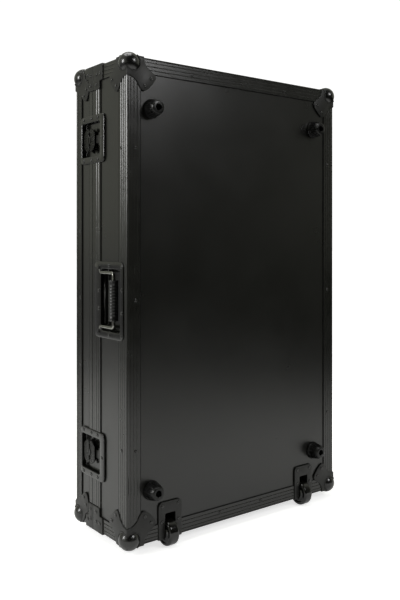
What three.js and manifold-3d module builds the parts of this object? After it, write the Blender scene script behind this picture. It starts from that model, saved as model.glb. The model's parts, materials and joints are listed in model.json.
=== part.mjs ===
// Flight case for a dj controller, upright on the two recessed wheels at its short end.
// Millimetres, +Z up. The underside with the feet faces -Y, the front with the latches faces -X,
// the lid is on the +Y side. The origin is the centre of the space that the case takes, on the floor.

import * as THREE from 'three';
import { mergeVertices } from 'three/addons/utils/BufferGeometryUtils.js';
import Module from 'manifold-3d';

const wasm = await Module();
wasm.setup();

// Shell
const shellWidth = 570;
const shellHeight = 940;
const baseDepth = 127.7;
const lidDepth = 76.3;
const partingGap = 0.4;
const panelThickness = 9;
const seatGap = 0.3;
const overrun = 6;

// Double-angle edge extrusion, and the corner posts that share its section
const legThickness = 1.4;
const edgeFlange = 30;
const lidEdgeFlange = 24.5;
const innerLegReach = 24;
const diagonalWeb = 1.6;
const edgeNoseRadius = 1.5;
const ridgePitch = 7.3;
const firstRidge = 8.3;
const ridgeWidth = 1.8;
const ridgeRise = 0.5;
const mitreGap = 0.2;

// Rim extrusions with their groove and tongue
const baseRimFlange = 25;
const lidRimFlange = 18.9;
const baseRimWeb = 5;
const lidRimWeb = 4;
const rimInnerLeg = 14;
const lidRimInnerLeg = 11;
const grooveInset = 5;
const grooveWidth = 3;
const grooveDepth = 3.5;
const tongueClearance = 0.3;
const postBite = 0.5;
const rimRidgeInset = 10.1;
const lidRimRidgeInset = 7;
const rimRidgePitch = 8.4;

// Corner braces at the parting line
const braceThickness = 1.8;
const braceBite = 0.6;
const braceHeight = 48;
const braceFootHeight = 31;
const braceFootSpread = 12;
const lidBraceFootHeight = 22;
const lidBraceFootSpread = 11;
const braceCornerRadius = 3;

// Ball corners
const ballRadius = 21;
const ballInset = 12;
const ballSegments = 16;
const ballRings = 8;
const plateLift = 0.8;
const plateThickness = 1.2;
const cornerReach = 64;
const cornerFoldReach = 38;
const cornerHalfOutline = [[11, 40], [21.5, 48], [27, 57], [33.5, 63.5], [40, cornerReach], [48.5, 58.5]];
const lidFoldAlong = 37;
const lidFoldAcross = 31;
const lidPlateOutline = [
  [6, 41],
  [17, 46.5],
  [27.5, 55],
  [34, 61.5],
  [43.5, cornerReach],
  [51, 58],
  [56, 48],
  [56.5, 39],
  [55, 28],
  [51, 25],
  [45.5, 22.5],
  [40, 11],
];

// Rubber feet
const footBaseRadius = 19;
const footTipRadius = 12.7;
const footHeight = 27;
const footLipRadius = 1.6;
const footHoleRadius = 6.3;
const footHoleDepth = 20;
const footSegments = 16;
const footInsetX = 56;
const footInsetFarX = 66;
const footLowInset = 100.5;
const footHighInset = 97;

// Wheels, axles and housings
const wheelRadius = 26;
const wheelWidth = 23;
const wheelShoulder = 5;
const wheelInset = 6.7;
const wheelProud = 18;
const wheelHubRadius = 11;
const wheelHubRecess = 3;
const axleRadius = 4;
const axleClearance = 0.3;
const axleHeadRadius = 6.5;
const axleHeadThickness = 2;
const wheelSegments = 24;
const wheelInsetX = 99.2;
const housingWidth = 55.6;
const housingRise = 72;
const housingRun = 52;
const housingCornerRadius = 9;
const slotWidth = 24.6;
const slotTop = 48.6;
const slotDepth = 37;
const slotArcRadius = 20;

// Pressed dishes
const dishWall = 1.2;
const dishCornerRadius = 12;
const dishClearance = 0.3;

// Recessed handles
const handleWellLength = 124;
const handleWellDepth = 16;
const handlePlateBorder = 14;
const handlePlateLow = 10.75;
const handlePlateHigh = 13;
const handleUndersideGap = 11.75;
const handlePartingGap = 5.95;
const handleShift = 0.4;
const handleDrop = 1;
const wellCornerRadius = 8;
const armInset = 8;
const rodRadius = 3.5;
const rodBend = 6;
const rodSides = 8;
const rodClearance = 0.3;
const pivotStep = 6.75;
const rodDepth = 1;
const gripInset = 29.25;
const gripRadius = 9.75;
const gripEndGap = 14;
const gripCollar = 2.5;
const gripSegments = 12;
const gripEndGroove = 0.6;
const earHalfWidth = 5;
const earStep = 11.75;
const earDepth = 6;
const knuckleRadius = 5.2;
const knuckleLength = 8.8;
const knuckleCap = 1.2;
const knuckleSegments = 12;

// Butterfly latches
const latchHalfLength = 49;
const latchLowDepth = 43.4;
const latchHighDepth = 53.3;
const latchCornerRadius = 10;
const latchWellHalf = 35;
const catchWellDepth = 26.5;
const lidWellDepth = 47.5;
const latchWellFloor = 9.2;
const latchLowInset = 151.5;
const latchHighInset = 147;
const wingOffset = 21;
const wingRadius = 25;
const wingHalfDepth = 22.3;
const wingWaist = 8;
const wingWaistHalf = 5;
const wingTop = -0.4;
const wingThickness = 1.8;
const wingLip = 3;
const wingLipRise = 1.6;
const hubRadius = 7;
const hubRise = 1.2;
const shaftRadius = 4.3;
const shaftSegments = 12;
const hookTop = -4.2;
const hookThickness = 1.8;
const hookHalfWidth = 8;
const hookNoseHalfWidth = 13;
const hookNoseReach = 18;
const hookNoseLength = 6;
const hookTail = 38;
const hookTravel = 8;
const slotClearance = 0.3;
const strikeHalfWidth = 11;
const strikeFar = 16.5;
const strikeNear = 12.5;
const strikeGap = 0.3;

// Foam
const foamWall = 12;
const foamFloor = 15;
const foamRimGap = 22;
const foamWheelBlock = 56;
const lidFoamThickness = 18;

// Places that several pieces share
const halfWidth = shellWidth / 2;
const shellDepth = baseDepth + lidDepth;
const ballProud = ballRadius - ballInset;
const panelRecess = legThickness + seatGap;
const panelInner = panelRecess + panelThickness;
const innerLegNear = panelInner + seatGap;
const innerLegFar = innerLegNear + legThickness;
const panelEdge = innerLegFar + seatGap;
const footTip = footHeight - panelRecess + seatGap;
const undersideY = -(shellDepth + ballProud - footTip) / 2;
const lidY = undersideY + shellDepth;
const partingY = undersideY + baseDepth;
const shellBottom = wheelProud;
const shellTop = shellBottom + shellHeight;
const housingHalf = slotWidth / 2 + dishWall;
const axleReach = housingHalf + axleHeadThickness + seatGap;
const wheelNotchHalf = axleReach + dishClearance;
const wheelOffset = halfWidth - wheelInsetX;
const plateTop = plateLift + plateThickness;
const handleOffset = (edgeFlange + baseDepth - baseRimFlange) / 2 + handleShift - baseDepth;
const handleWellLow = baseDepth + handleOffset - handleUndersideGap - handlePlateLow;
const handleWellHigh = -handleOffset - handlePartingGap - handlePlateHigh - earStep;
const armSpread = handleWellLength / 2 - armInset;
const earReach = handleWellHigh + earStep;
const pivotOffset = handleWellHigh + pivotStep;
const gripOffset = gripInset - handleWellLow;

// Helpers for closed meshes
function toSolid(geometry) {
  const bare = geometry.index ? geometry.toNonIndexed() : geometry.clone();
  bare.deleteAttribute('normal');
  bare.deleteAttribute('uv');
  const merged = mergeVertices(bare);
  return new wasm.Manifold(new wasm.Mesh({
    numProp: 3,
    vertProperties: new Float32Array(merged.attributes.position.array),
    triVerts: new Uint32Array(merged.index.array),
  }));
}

function toGeometry(solid) {
  const mesh = solid.getMesh();
  const geometry = new THREE.BufferGeometry();
  geometry.setAttribute('position', new THREE.BufferAttribute(mesh.vertProperties, 3));
  geometry.setIndex(new THREE.BufferAttribute(mesh.triVerts, 1));
  geometry.computeVertexNormals();
  return geometry;
}

function join(...pieces) {
  return toGeometry(pieces.map(toSolid).reduce((whole, piece) => whole.add(piece)));
}

function cut(body, ...tools) {
  return toGeometry(tools.map(toSolid).reduce((whole, tool) => whole.subtract(tool), toSolid(body)));
}

function block([x0, x1], [y0, y1], [z0, z1]) {
  const geometry = new THREE.BoxGeometry(x1 - x0, y1 - y0, z1 - z0);
  geometry.translate((x0 + x1) / 2, (y0 + y1) / 2, (z0 + z1) / 2);
  return geometry;
}

// Skin over matching sections. The profile gives the triangles of the end caps.
function loft(profile, sections, closed = false) {
  const count = profile.length;
  const positions = sections.flat().flatMap((point) => [point.x, point.y, point.z]);
  const triangles = [];
  const spans = closed ? sections.length : sections.length - 1;
  for (let i = 0; i < spans; i += 1) {
    const next = (i + 1) % sections.length;
    for (let j = 0; j < count; j += 1) {
      const k = (j + 1) % count;
      const corners = [i * count + j, i * count + k, next * count + k, next * count + j];
      triangles.push([corners[0], corners[1], corners[2]], [corners[0], corners[2], corners[3]]);
    }
  }
  if (!closed) {
    const last = (sections.length - 1) * count;
    const outline = profile.map(([a, b]) => new THREE.Vector2(a, b));
    const turned = THREE.ShapeUtils.isClockWise(outline);
    THREE.ShapeUtils.triangulateShape(outline, []).forEach(([a, b, c]) => {
      const [first, second] = turned ? [c, a] : [a, c];
      triangles.push([second, b, first]);
      triangles.push([first, b, second].map((corner) => corner + last));
    });
  }
  return facingOut(positions, triangles);
}

// Turns every triangle over where the mesh encloses a negative volume.
function facingOut(positions, triangles) {
  const at = (i) => new THREE.Vector3(positions[3 * i], positions[3 * i + 1], positions[3 * i + 2]);
  const volume = triangles.reduce((sum, [a, b, c]) => sum + at(a).dot(at(b).cross(at(c))), 0);
  const index = triangles.flatMap(([a, b, c]) => (volume < 0 ? [a, c, b] : [a, b, c]));
  const geometry = new THREE.BufferGeometry();
  geometry.setAttribute('position', new THREE.Float32BufferAttribute(positions, 3));
  geometry.setIndex(index);
  geometry.computeVertexNormals();
  return geometry;
}

// Outline in (u, v), thickened from w = low to w = high.
function slab(outline, low, high) {
  const at = (w) => outline.map(([u, v]) => new THREE.Vector3(u, v, w));
  return loft(outline, [at(low), at(high)]);
}

function arc(u, v, radius, from, to, steps) {
  return Array.from({ length: steps + 1 }, (_, i) => {
    const angle = THREE.MathUtils.degToRad(from + ((to - from) * i) / steps);
    return [u + radius * Math.cos(angle), v + radius * Math.sin(angle)];
  });
}

// Rectangle whose four corners have their own radii, from the low corner round anticlockwise.
function roundedRectangle([u0, u1], [v0, v1], radii, steps = 3) {
  const corners = [
    [u0, v0, 1, 1, 180],
    [u1, v0, -1, 1, 270],
    [u1, v1, -1, -1, 0],
    [u0, v1, 1, -1, 90],
  ];
  return corners.flatMap(([u, v, signU, signV, start], i) => {
    const radius = radii[i];
    if (radius === 0) return [[u, v]];
    return arc(u + signU * radius, v + signV * radius, radius, start, start + 90, steps);
  });
}

// Round bar about the local X axis, from low to high.
function barAlongX(radius, low, high, segments) {
  const geometry = new THREE.CylinderGeometry(radius, radius, high - low, segments);
  geometry.rotateZ(Math.PI / 2);
  geometry.translate((low + high) / 2, 0, 0);
  return geometry;
}

// Round bar about the local Z axis, from low to high.
function barAlongZ(radius, low, high, segments) {
  const geometry = new THREE.CylinderGeometry(radius, radius, high - low, segments);
  geometry.rotateX(Math.PI / 2);
  geometry.translate(0, 0, (low + high) / 2);
  return geometry;
}

// Faces of the shell: local X runs along the face, local Y towards the lid, local Z out of the face.
function faceFrame(face, along) {
  const frame = new THREE.Group();
  if (face === 'front') {
    frame.position.set(-halfWidth, partingY, along);
    frame.rotation.y = -Math.PI / 2;
  } else if (face === 'rear') {
    frame.position.set(halfWidth, partingY, along);
    frame.rotation.y = Math.PI / 2;
  } else {
    frame.position.set(along, partingY, shellTop);
  }
  frame.updateMatrix();
  return frame;
}

// Section of the double-angle extrusion: a measures along one face from the corner, b along the other.
function ridgesAlong(flange) {
  const count = Math.floor((flange - firstRidge) / ridgePitch) + 1;
  return Array.from({ length: count }, (_, i) => firstRidge + i * ridgePitch);
}

function ridgePoints(places) {
  return places.flatMap((place) => [
    [place - ridgeWidth / 2, 0],
    [place, -ridgeRise],
    [place + ridgeWidth / 2, 0],
  ]);
}

function doubleAngle(flangeA, flangeB) {
  const web = diagonalWeb / Math.SQRT2;
  const alongB = ridgePoints(ridgesAlong(flangeB)).map(([a, b]) => [b, a]).reverse();
  return [
    ...arc(edgeNoseRadius, edgeNoseRadius, edgeNoseRadius, 180, 270, 3),
    ...ridgePoints(ridgesAlong(flangeA)),
    [flangeA, 0],
    [flangeA, legThickness],
    [legThickness + web, legThickness],
    [innerLegNear + web, innerLegNear],
    [innerLegReach, innerLegNear],
    [innerLegReach, innerLegFar],
    [innerLegFar, innerLegFar],
    [innerLegFar, innerLegReach],
    [innerLegNear, innerLegReach],
    [innerLegNear, innerLegNear + web],
    [legThickness, legThickness + web],
    [legThickness, flangeB],
    [0, flangeB],
    ...alongB,
  ];
}

// Section of a rim extrusion: a measures in from the side, d away from the parting line.
// A negative tongue depth cuts the groove, a positive one raises the tongue.
function rimSection(flange, web, innerLeg, tongue, inset, width, ridges) {
  return [
    [0, 0],
    [inset, 0],
    [inset, -tongue],
    [inset + width, -tongue],
    [inset + width, 0],
    [innerLegFar, 0],
    [innerLegFar, innerLeg],
    [innerLegNear, innerLeg],
    [innerLegNear, web],
    [legThickness, web],
    [legThickness, flange],
    [0, flange],
    ...ridgePoints(ridges).map(([d, rise]) => [rise, d]).reverse(),
  ];
}

// Closed frame round the shell, mitred at its four corners.
function mitredFrame(profile, depthAt) {
  const corners = [[-1, -1], [1, -1], [1, 1], [-1, 1]];
  const sections = corners.map(([sideX, sideZ]) => profile.map(([a, b]) => new THREE.Vector3(
    sideX * (halfWidth - a),
    depthAt(b),
    (sideZ < 0 ? shellBottom + a : shellTop - a),
  )));
  return loft(profile, sections, true);
}

// One corner post, from depth y0 to y1.
function cornerPost(sideX, sideZ, y0, y1) {
  const profile = doubleAngle(edgeFlange, edgeFlange);
  const at = (y) => profile.map(([a, b]) => new THREE.Vector3(
    sideX * (halfWidth - a),
    y,
    (sideZ < 0 ? shellBottom + b : shellTop - b),
  ));
  return loft(profile, [at(y0), at(y1)]);
}

// Folded brace: one plate on the side and one on the end, meeting at the corner post.
function foldedBrace(sideX, sideZ, start, direction, flange, footHeight, footSpread) {
  const outline = [
    [0, -braceThickness],
    [flange + footSpread, -braceThickness],
    [flange + footSpread, footHeight - braceCornerRadius],
    ...arc(
      flange + footSpread - braceCornerRadius,
      footHeight - braceCornerRadius,
      braceCornerRadius,
      0,
      90,
      2,
    ).slice(1),
    [flange + braceCornerRadius, footHeight],
    ...arc(flange + braceCornerRadius, footHeight + braceCornerRadius, braceCornerRadius, 270, 180, 2).slice(1),
    [flange, braceHeight - braceCornerRadius],
    ...arc(flange - braceCornerRadius, braceHeight - braceCornerRadius, braceCornerRadius, 0, 90, 2).slice(1),
    [0, braceHeight],
  ];
  const place = (out, fold) => outline.map(([d, h]) => {
    const y = start + direction * d;
    const inward = fold === 'side' ? -out : h;
    const upward = fold === 'side' ? h : -out;
    return new THREE.Vector3(
      sideX * (halfWidth - inward),
      y,
      (sideZ < 0 ? shellBottom + upward : shellTop - upward),
    );
  });
  return ['side', 'end'].map((fold) => loft(outline, [
    place(-braceBite, fold),
    place(braceThickness, fold),
  ]));
}

// Corners of the shell, as signs along X and Z
const cornerSigns = [[-1, -1], [1, -1], [-1, 1], [1, 1]];
const latchLowZ = shellBottom + latchLowInset;
const latchHighZ = shellTop - latchHighInset;
const latchPlaces = [['front', latchLowZ], ['front', latchHighZ], ['rear', latchLowZ], ['rear', latchHighZ]];
const latchNames = ['front_low', 'front_high', 'rear_low', 'rear_high'];
const handlePlaces = [['front', (shellBottom + shellTop) / 2 - handleDrop], ['top', 0]];
const handleNames = ['front', 'tow'];
const wheelPlaces = [-wheelOffset, wheelOffset];
const wheelNames = ['near', 'far'];

// Tools that open the shell for the latches, handles and wheels, in the part's own frame
function latchOpening([face, along]) {
  const half = latchWellHalf + dishWall + dishClearance;
  const opening = block(
    [-half, half],
    [-catchWellDepth - dishWall - dishClearance, lidWellDepth + dishWall + dishClearance],
    [-latchWellFloor - dishWall - dishClearance, overrun],
  );
  return opening.applyMatrix4(faceFrame(face, along).matrix);
}

function handleOpening([face, along]) {
  const half = handleWellLength / 2 + dishWall + dishClearance;
  const earHalf = armSpread + earHalfWidth + knuckleLength + dishClearance;
  const well = block(
    [-half, half],
    [
      handleOffset - handleWellLow - dishWall - dishClearance,
      handleOffset + handleWellHigh + dishWall + dishClearance,
    ],
    [-handleWellDepth - dishWall - dishClearance, overrun],
  );
  const ears = block(
    [-earHalf, earHalf],
    [handleOffset, handleOffset + earReach + dishWall + dishClearance],
    [-panelInner - overrun, overrun],
  );
  const between = armSpread - earHalfWidth - dishWall - dishClearance;
  const tongue = block(
    [-between, between],
    [handleOffset + handleWellHigh + dishWall + dishClearance, handleOffset + earReach + overrun],
    [-panelInner - overrun - overrun, overrun + overrun],
  );
  const opening = join(well, cut(ears, tongue));
  return opening.applyMatrix4(faceFrame(face, along).matrix);
}

// Gap in the foam wall behind a handle, down to the foam floor
function handlePocket([face, along]) {
  const half = armSpread + earHalfWidth + knuckleLength + dishClearance;
  const pocket = block(
    [-half, half],
    [undersideY + panelEdge + foamFloor - partingY, overrun],
    [-panelEdge - foamWall - overrun, overrun],
  );
  return pocket.applyMatrix4(faceFrame(face, along).matrix);
}

function wheelOpening(x) {
  return block(
    [x - wheelNotchHalf, x + wheelNotchHalf],
    [undersideY - overrun, undersideY + slotDepth + dishWall + axleClearance + dishClearance],
    [shellBottom - overrun, shellBottom + slotTop + dishWall + dishClearance],
  );
}

const latchOpenings = latchPlaces.map(latchOpening);
const handleOpenings = handlePlaces.map(handleOpening);
const wheelOpenings = wheelPlaces.map(wheelOpening);

// Materials
const blackAluminium = new THREE.MeshStandardMaterial({ color: 0x2c2d2a, roughness: 0.42, metalness: 0.75 });
const blackLaminate = new THREE.MeshStandardMaterial({ color: 0x242422, roughness: 0.55, metalness: 0.05 });
const blackSteel = new THREE.MeshStandardMaterial({ color: 0x1f201e, roughness: 0.35, metalness: 0.6 });
const brightSteel = new THREE.MeshStandardMaterial({ color: 0x8c8c88, roughness: 0.25, metalness: 0.95 });
const blackRubber = new THREE.MeshStandardMaterial({ color: 0x161615, roughness: 0.8, metalness: 0 });
const darkFoam = new THREE.MeshStandardMaterial({ color: 0x2a2b2d, roughness: 0.95, metalness: 0 });

const djCase = new THREE.Group();

function addPiece(name, geometry, material, parent = djCase) {
  const mesh = new THREE.Mesh(geometry, material);
  mesh.name = name;
  parent.add(mesh);
  return mesh;
}

// Panels
const panelX = halfWidth - panelEdge;
const panelZ = [shellBottom + panelEdge, shellTop - panelEdge];
const baseSideY = [undersideY + panelEdge, partingY - partingGap / 2 - baseRimWeb - seatGap];
const lidSideY = [partingY + partingGap / 2 + lidRimWeb + seatGap, lidY - panelEdge];
const sides = {
  front: [-halfWidth + panelRecess, -halfWidth + panelInner],
  rear: [halfWidth - panelInner, halfWidth - panelRecess],
};
const ends = {
  wheel_end: [shellBottom + panelRecess, shellBottom + panelInner],
  top: [shellTop - panelInner, shellTop - panelRecess],
};

function addPanels() {
  const underside = block([-panelX, panelX], [undersideY + panelRecess, undersideY + panelInner], panelZ);
  addPiece('base_underside_panel', cut(underside, ...wheelOpenings), blackLaminate);
  addPiece('lid_panel', block([-panelX, panelX], [lidY - panelInner, lidY - panelRecess], panelZ), blackLaminate);
  const baseCuts = {
    front: [latchOpenings[0], latchOpenings[1], handleOpenings[0]],
    rear: [latchOpenings[2], latchOpenings[3]],
  };
  Object.entries(sides).forEach(([side, x], i) => {
    addPiece(`base_${side}_panel`, cut(block(x, baseSideY, panelZ), ...baseCuts[side]), blackLaminate);
    const latches = latchOpenings.slice(2 * i, 2 * i + 2);
    addPiece(`lid_${side}_panel`, cut(block(x, lidSideY, panelZ), ...latches), blackLaminate);
  });
  const endCuts = { wheel_end: wheelOpenings, top: [handleOpenings[1]] };
  Object.entries(ends).forEach(([end, z]) => {
    addPiece(`base_${end}_panel`, cut(block([-panelX, panelX], baseSideY, z), ...endCuts[end]), blackLaminate);
    addPiece(`lid_${end}_panel`, block([-panelX, panelX], lidSideY, z), blackLaminate);
  });
}

// Edge extrusions round the underside, in mitred lengths. Two are notched for the handles.
function addBaseEdges() {
  const profile = doubleAngle(edgeFlange, edgeFlange);
  const upright = (sideX) => [1, -1].map((end) => profile.map(([a, b]) => new THREE.Vector3(
    sideX * (halfWidth - a),
    undersideY + b,
    end > 0 ? shellBottom + a + mitreGap : shellTop - a - mitreGap,
  )));
  const across = (height, from, to) => [from, to].map((reach) => profile.map(([a, b]) => new THREE.Vector3(
    reach(a),
    undersideY + b,
    height(a),
  )));
  const mitre = (side) => (a) => side * (halfWidth - a - mitreGap);
  const square = (x) => () => x;
  const top = (a) => shellTop - a;
  const bottom = (a) => shellBottom + a;
  const lengths = {
    base_edge_front: upright(-1),
    base_edge_rear: upright(1),
    base_edge_top: across(top, mitre(-1), mitre(1)),
    base_edge_near_wheel: across(bottom, mitre(-1), square(-wheelOffset - wheelNotchHalf)),
    base_edge_between_wheels: across(
      bottom,
      square(-wheelOffset + wheelNotchHalf),
      square(wheelOffset - wheelNotchHalf),
    ),
    base_edge_far_wheel: across(bottom, square(wheelOffset + wheelNotchHalf), mitre(1)),
  };
  const handleCuts = { base_edge_front: [handleOpenings[0]], base_edge_top: [handleOpenings[1]] };
  Object.entries(lengths).forEach(([name, sections]) => {
    addPiece(name, cut(loft(profile, sections), ...(handleCuts[name] || [])), blackAluminium);
  });
}

// Rim frames with their corner posts and braces
function addFrames() {
  const baseFace = partingY - partingGap / 2;
  const lidFace = partingY + partingGap / 2;
  const baseRidges = [rimRidgeInset, rimRidgeInset + rimRidgePitch];
  const baseRim = rimSection(
    baseRimFlange,
    baseRimWeb,
    rimInnerLeg,
    -grooveDepth,
    grooveInset,
    grooveWidth,
    baseRidges,
  );
  const basePosts = cornerSigns.map(([sideX, sideZ]) => cornerPost(
    sideX,
    sideZ,
    undersideY + edgeFlange + seatGap,
    baseFace - baseRimWeb + postBite,
  ));
  const baseBraces = cornerSigns.flatMap(([sideX, sideZ]) => foldedBrace(
    sideX,
    sideZ,
    baseFace,
    -1,
    baseRimFlange,
    braceFootHeight,
    braceFootSpread,
  ));
  const baseRing = mitredFrame(baseRim, (d) => baseFace - d);
  const baseFrame = join(baseRing, ...basePosts, ...baseBraces);
  addPiece('base_rim_frame', cut(baseFrame, ...latchOpenings, ...handleOpenings), blackAluminium);

  const lidRim = rimSection(
    lidRimFlange,
    lidRimWeb,
    lidRimInnerLeg,
    grooveDepth - tongueClearance,
    grooveInset + tongueClearance,
    grooveWidth - 2 * tongueClearance,
    [lidRimRidgeInset],
  );
  const lidPosts = cornerSigns.map(([sideX, sideZ]) => cornerPost(
    sideX,
    sideZ,
    lidFace + lidRimWeb - postBite,
    lidY - lidEdgeFlange + postBite,
  ));
  const lidBraces = cornerSigns.flatMap(([sideX, sideZ]) => foldedBrace(
    sideX,
    sideZ,
    lidFace,
    1,
    lidRimFlange,
    lidBraceFootHeight,
    lidBraceFootSpread,
  ));
  const lidEdge = mitredFrame(doubleAngle(lidEdgeFlange, lidEdgeFlange), (b) => lidY - b);
  const lidRing = mitredFrame(lidRim, (d) => lidFace + d);
  const lidFrame = join(lidRing, lidEdge, ...lidPosts, ...lidBraces);
  addPiece('lid_frame', cut(lidFrame, ...latchOpenings), blackAluminium);
}

// Outline of a ball corner's plate on one face. Both edges start at the shell's corner.
function cornerOutline() {
  const half = [[-plateTop, cornerFoldReach], ...cornerHalfOutline];
  const mirrored = half.map(([u, v]) => [v, u]).reverse();
  return [[-plateTop, -plateTop], ...half, ...mirrored];
}

// The lid is shallow, so its side plates are narrower across: u runs away from the lid's face.
function lidCornerOutline() {
  return [
    [-plateTop, -plateTop],
    [-plateTop, lidFoldAlong],
    ...lidPlateOutline,
    [lidFoldAcross, -plateTop],
  ];
}

// Ball corner in a frame whose three axes run from the shell's corner into the case.
function ballCorner(sidePlate) {
  const ball = new THREE.SphereGeometry(ballRadius, ballSegments, ballRings);
  ball.translate(ballInset, ballInset, ballInset);
  const plate = (outline, place) => loft(outline, [-plateLift, -plateTop].map((w) => (
    outline.map(([u, v]) => place(u, v, w))
  )));
  const big = plate(cornerOutline(), (u, v, w) => new THREE.Vector3(u, w, v));
  const side = plate(sidePlate, (u, v, w) => new THREE.Vector3(w, u, v));
  const end = plate(sidePlate, (u, v, w) => new THREE.Vector3(v, u, w));
  const room = cornerReach + overrun;
  const shell = block([-plateLift, room], [-plateLift, room], [-plateLift, room]);
  return cut(join(ball, big, side, end), shell);
}

function addBallCorners() {
  const names = ['front_low', 'rear_low', 'front_high', 'rear_high'];
  const kinds = [
    ['base', cornerOutline(), undersideY, 1],
    ['lid', lidCornerOutline(), lidY, -1],
  ];
  kinds.forEach(([half, sidePlate, faceY, inward]) => {
    cornerSigns.forEach(([sideX, sideZ], i) => {
      const geometry = ballCorner(sidePlate);
      const positions = Array.from(geometry.attributes.position.array);
      for (let k = 0; k < positions.length; k += 3) {
        positions[k] = sideX * (halfWidth - positions[k]);
        positions[k + 1] = faceY + inward * positions[k + 1];
        positions[k + 2] = sideZ < 0 ? shellBottom + positions[k + 2] : shellTop - positions[k + 2];
      }
      const index = Array.from(geometry.index.array);
      const triangles = index.reduce((list, corner, k) => {
        if (k % 3 === 0) list.push([]);
        list[list.length - 1].push(corner);
        return list;
      }, []);
      addPiece(`${half}_ball_corner_${names[i]}`, facingOut(positions, triangles), blackSteel);
    });
  });
}

// Rubber feet: tapered cups with a lip and a screw hole
function addFeet() {
  const profile = [
    [0, 0],
    [footBaseRadius, 0],
    [footTipRadius + footLipRadius / 2, footHeight - 2 * footLipRadius],
    [footTipRadius, footHeight - footLipRadius / 2],
    [footTipRadius - footLipRadius, footHeight],
    [footHoleRadius, footHeight],
    [footHoleRadius, footHeight - footHoleDepth],
    [0, footHeight - footHoleDepth],
  ];
  const outline = profile.map(([r, h]) => new THREE.Vector2(r, h));
  const places = {
    foot_near_low: [-halfWidth + footInsetX, shellBottom + footLowInset],
    foot_far_low: [halfWidth - footInsetFarX, shellBottom + footLowInset],
    foot_near_high: [-halfWidth + footInsetX, shellTop - footHighInset],
    foot_far_high: [halfWidth - footInsetFarX, shellTop - footHighInset],
  };
  Object.entries(places).forEach(([name, [x, z]]) => {
    const foot = addPiece(name, new THREE.LatheGeometry(outline, footSegments), blackRubber);
    foot.rotation.x = Math.PI;
    foot.position.set(x, undersideY + panelRecess - seatGap, z);
  });
}

// Wheel housings: flange on the underside, flange on the wheel end and a fender between them
function addWheels() {
  const axisY = undersideY + wheelInset;
  const axisZ = wheelRadius;
  wheelPlaces.forEach((x, i) => {
    const corner = new THREE.Group();
    corner.position.set(x, undersideY, shellBottom);
    djCase.add(corner);
    const half = housingWidth / 2;
    const face = roundedRectangle(
      [-half, half],
      [-plateTop, housingRise],
      [0, 0, housingCornerRadius, housingCornerRadius],
    );
    const underFlange = loft(face, [-plateTop, -plateLift].map((y) => (
      face.map(([u, v]) => new THREE.Vector3(u, y, v))
    )));
    const foot = roundedRectangle(
      [-half, half],
      [-plateTop, housingRun],
      [0, 0, housingCornerRadius, housingCornerRadius],
    );
    const endFlange = loft(foot, [-plateTop, -plateLift].map((z) => (
      foot.map(([u, v]) => new THREE.Vector3(u, v, z))
    )));
    const fender = (grow, low) => {
      const outline = roundedRectangle(
        [low, slotDepth + grow],
        [low, slotTop + grow],
        [0, 0, slotArcRadius + grow, 0],
        5,
      );
      const reach = slotWidth / 2 + grow;
      return loft(outline, [-reach, reach].map((u) => outline.map(([y, z]) => new THREE.Vector3(u, y, z))));
    };
    const bore = barAlongX(axleRadius + axleClearance, -axleReach, axleReach, wheelSegments);
    bore.translate(0, wheelInset, axisZ - shellBottom);
    const shell = join(underFlange, endFlange, fender(dishWall, -plateTop));
    addPiece(`wheel_housing_${wheelNames[i]}`, cut(shell, fender(0, -plateTop - overrun), bore), blackSteel, corner);

    const headIn = housingHalf + seatGap;
    const axleProfile = [
      [0, -axleReach],
      [axleHeadRadius, -axleReach],
      [axleHeadRadius, -headIn],
      [axleRadius, -headIn],
      [axleRadius, headIn],
      [axleHeadRadius, headIn],
      [axleHeadRadius, axleReach],
      [0, axleReach],
    ];
    const axleOutline = axleProfile.map(([r, h]) => new THREE.Vector2(r, h));
    const axle = addPiece(`axle_${wheelNames[i]}`, new THREE.LatheGeometry(axleOutline, shaftSegments), brightSteel);
    axle.rotation.z = Math.PI / 2;
    axle.position.set(x, axisY, axisZ);

    const edge = wheelWidth / 2;
    const boreRadius = axleRadius + axleClearance;
    const shoulder = (side) => arc(
      wheelRadius - wheelShoulder,
      side * (edge - wheelShoulder),
      wheelShoulder,
      side < 0 ? -90 : 0,
      side < 0 ? 0 : 90,
      2,
    );
    const wheelProfile = [
      [boreRadius, -edge],
      [wheelHubRadius, -edge],
      [wheelHubRadius + wheelHubRecess, -edge + wheelHubRecess],
      ...shoulder(-1),
      ...shoulder(1),
      [wheelHubRadius + wheelHubRecess, edge - wheelHubRecess],
      [wheelHubRadius, edge],
      [boreRadius, edge],
      [boreRadius, -edge],
    ];
    const wheelOutline = wheelProfile.map(([r, h]) => new THREE.Vector2(r, h));
    const wheel = addPiece(`wheel_${wheelNames[i]}`, new THREE.LatheGeometry(wheelOutline, wheelSegments), blackRubber);
    wheel.rotation.z = Math.PI / 2;
    wheel.position.set(x, axisY, axisZ);
  });
}

// Round rod swept along a path that lies in the plane w = depth
function sweptRod(path, radius, sides, depth) {
  const profile = arc(0, 0, radius, 0, 360 - 360 / sides, sides - 1);
  const sections = path.map(([u, v], i) => {
    const [before, after] = [path[Math.max(i - 1, 0)], path[Math.min(i + 1, path.length - 1)]];
    const heading = new THREE.Vector2(after[0] - before[0], after[1] - before[1]).normalize();
    return profile.map(([a, b]) => new THREE.Vector3(u - heading.y * a, v + heading.x * a, depth + b));
  });
  return loft(profile, sections);
}

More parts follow.
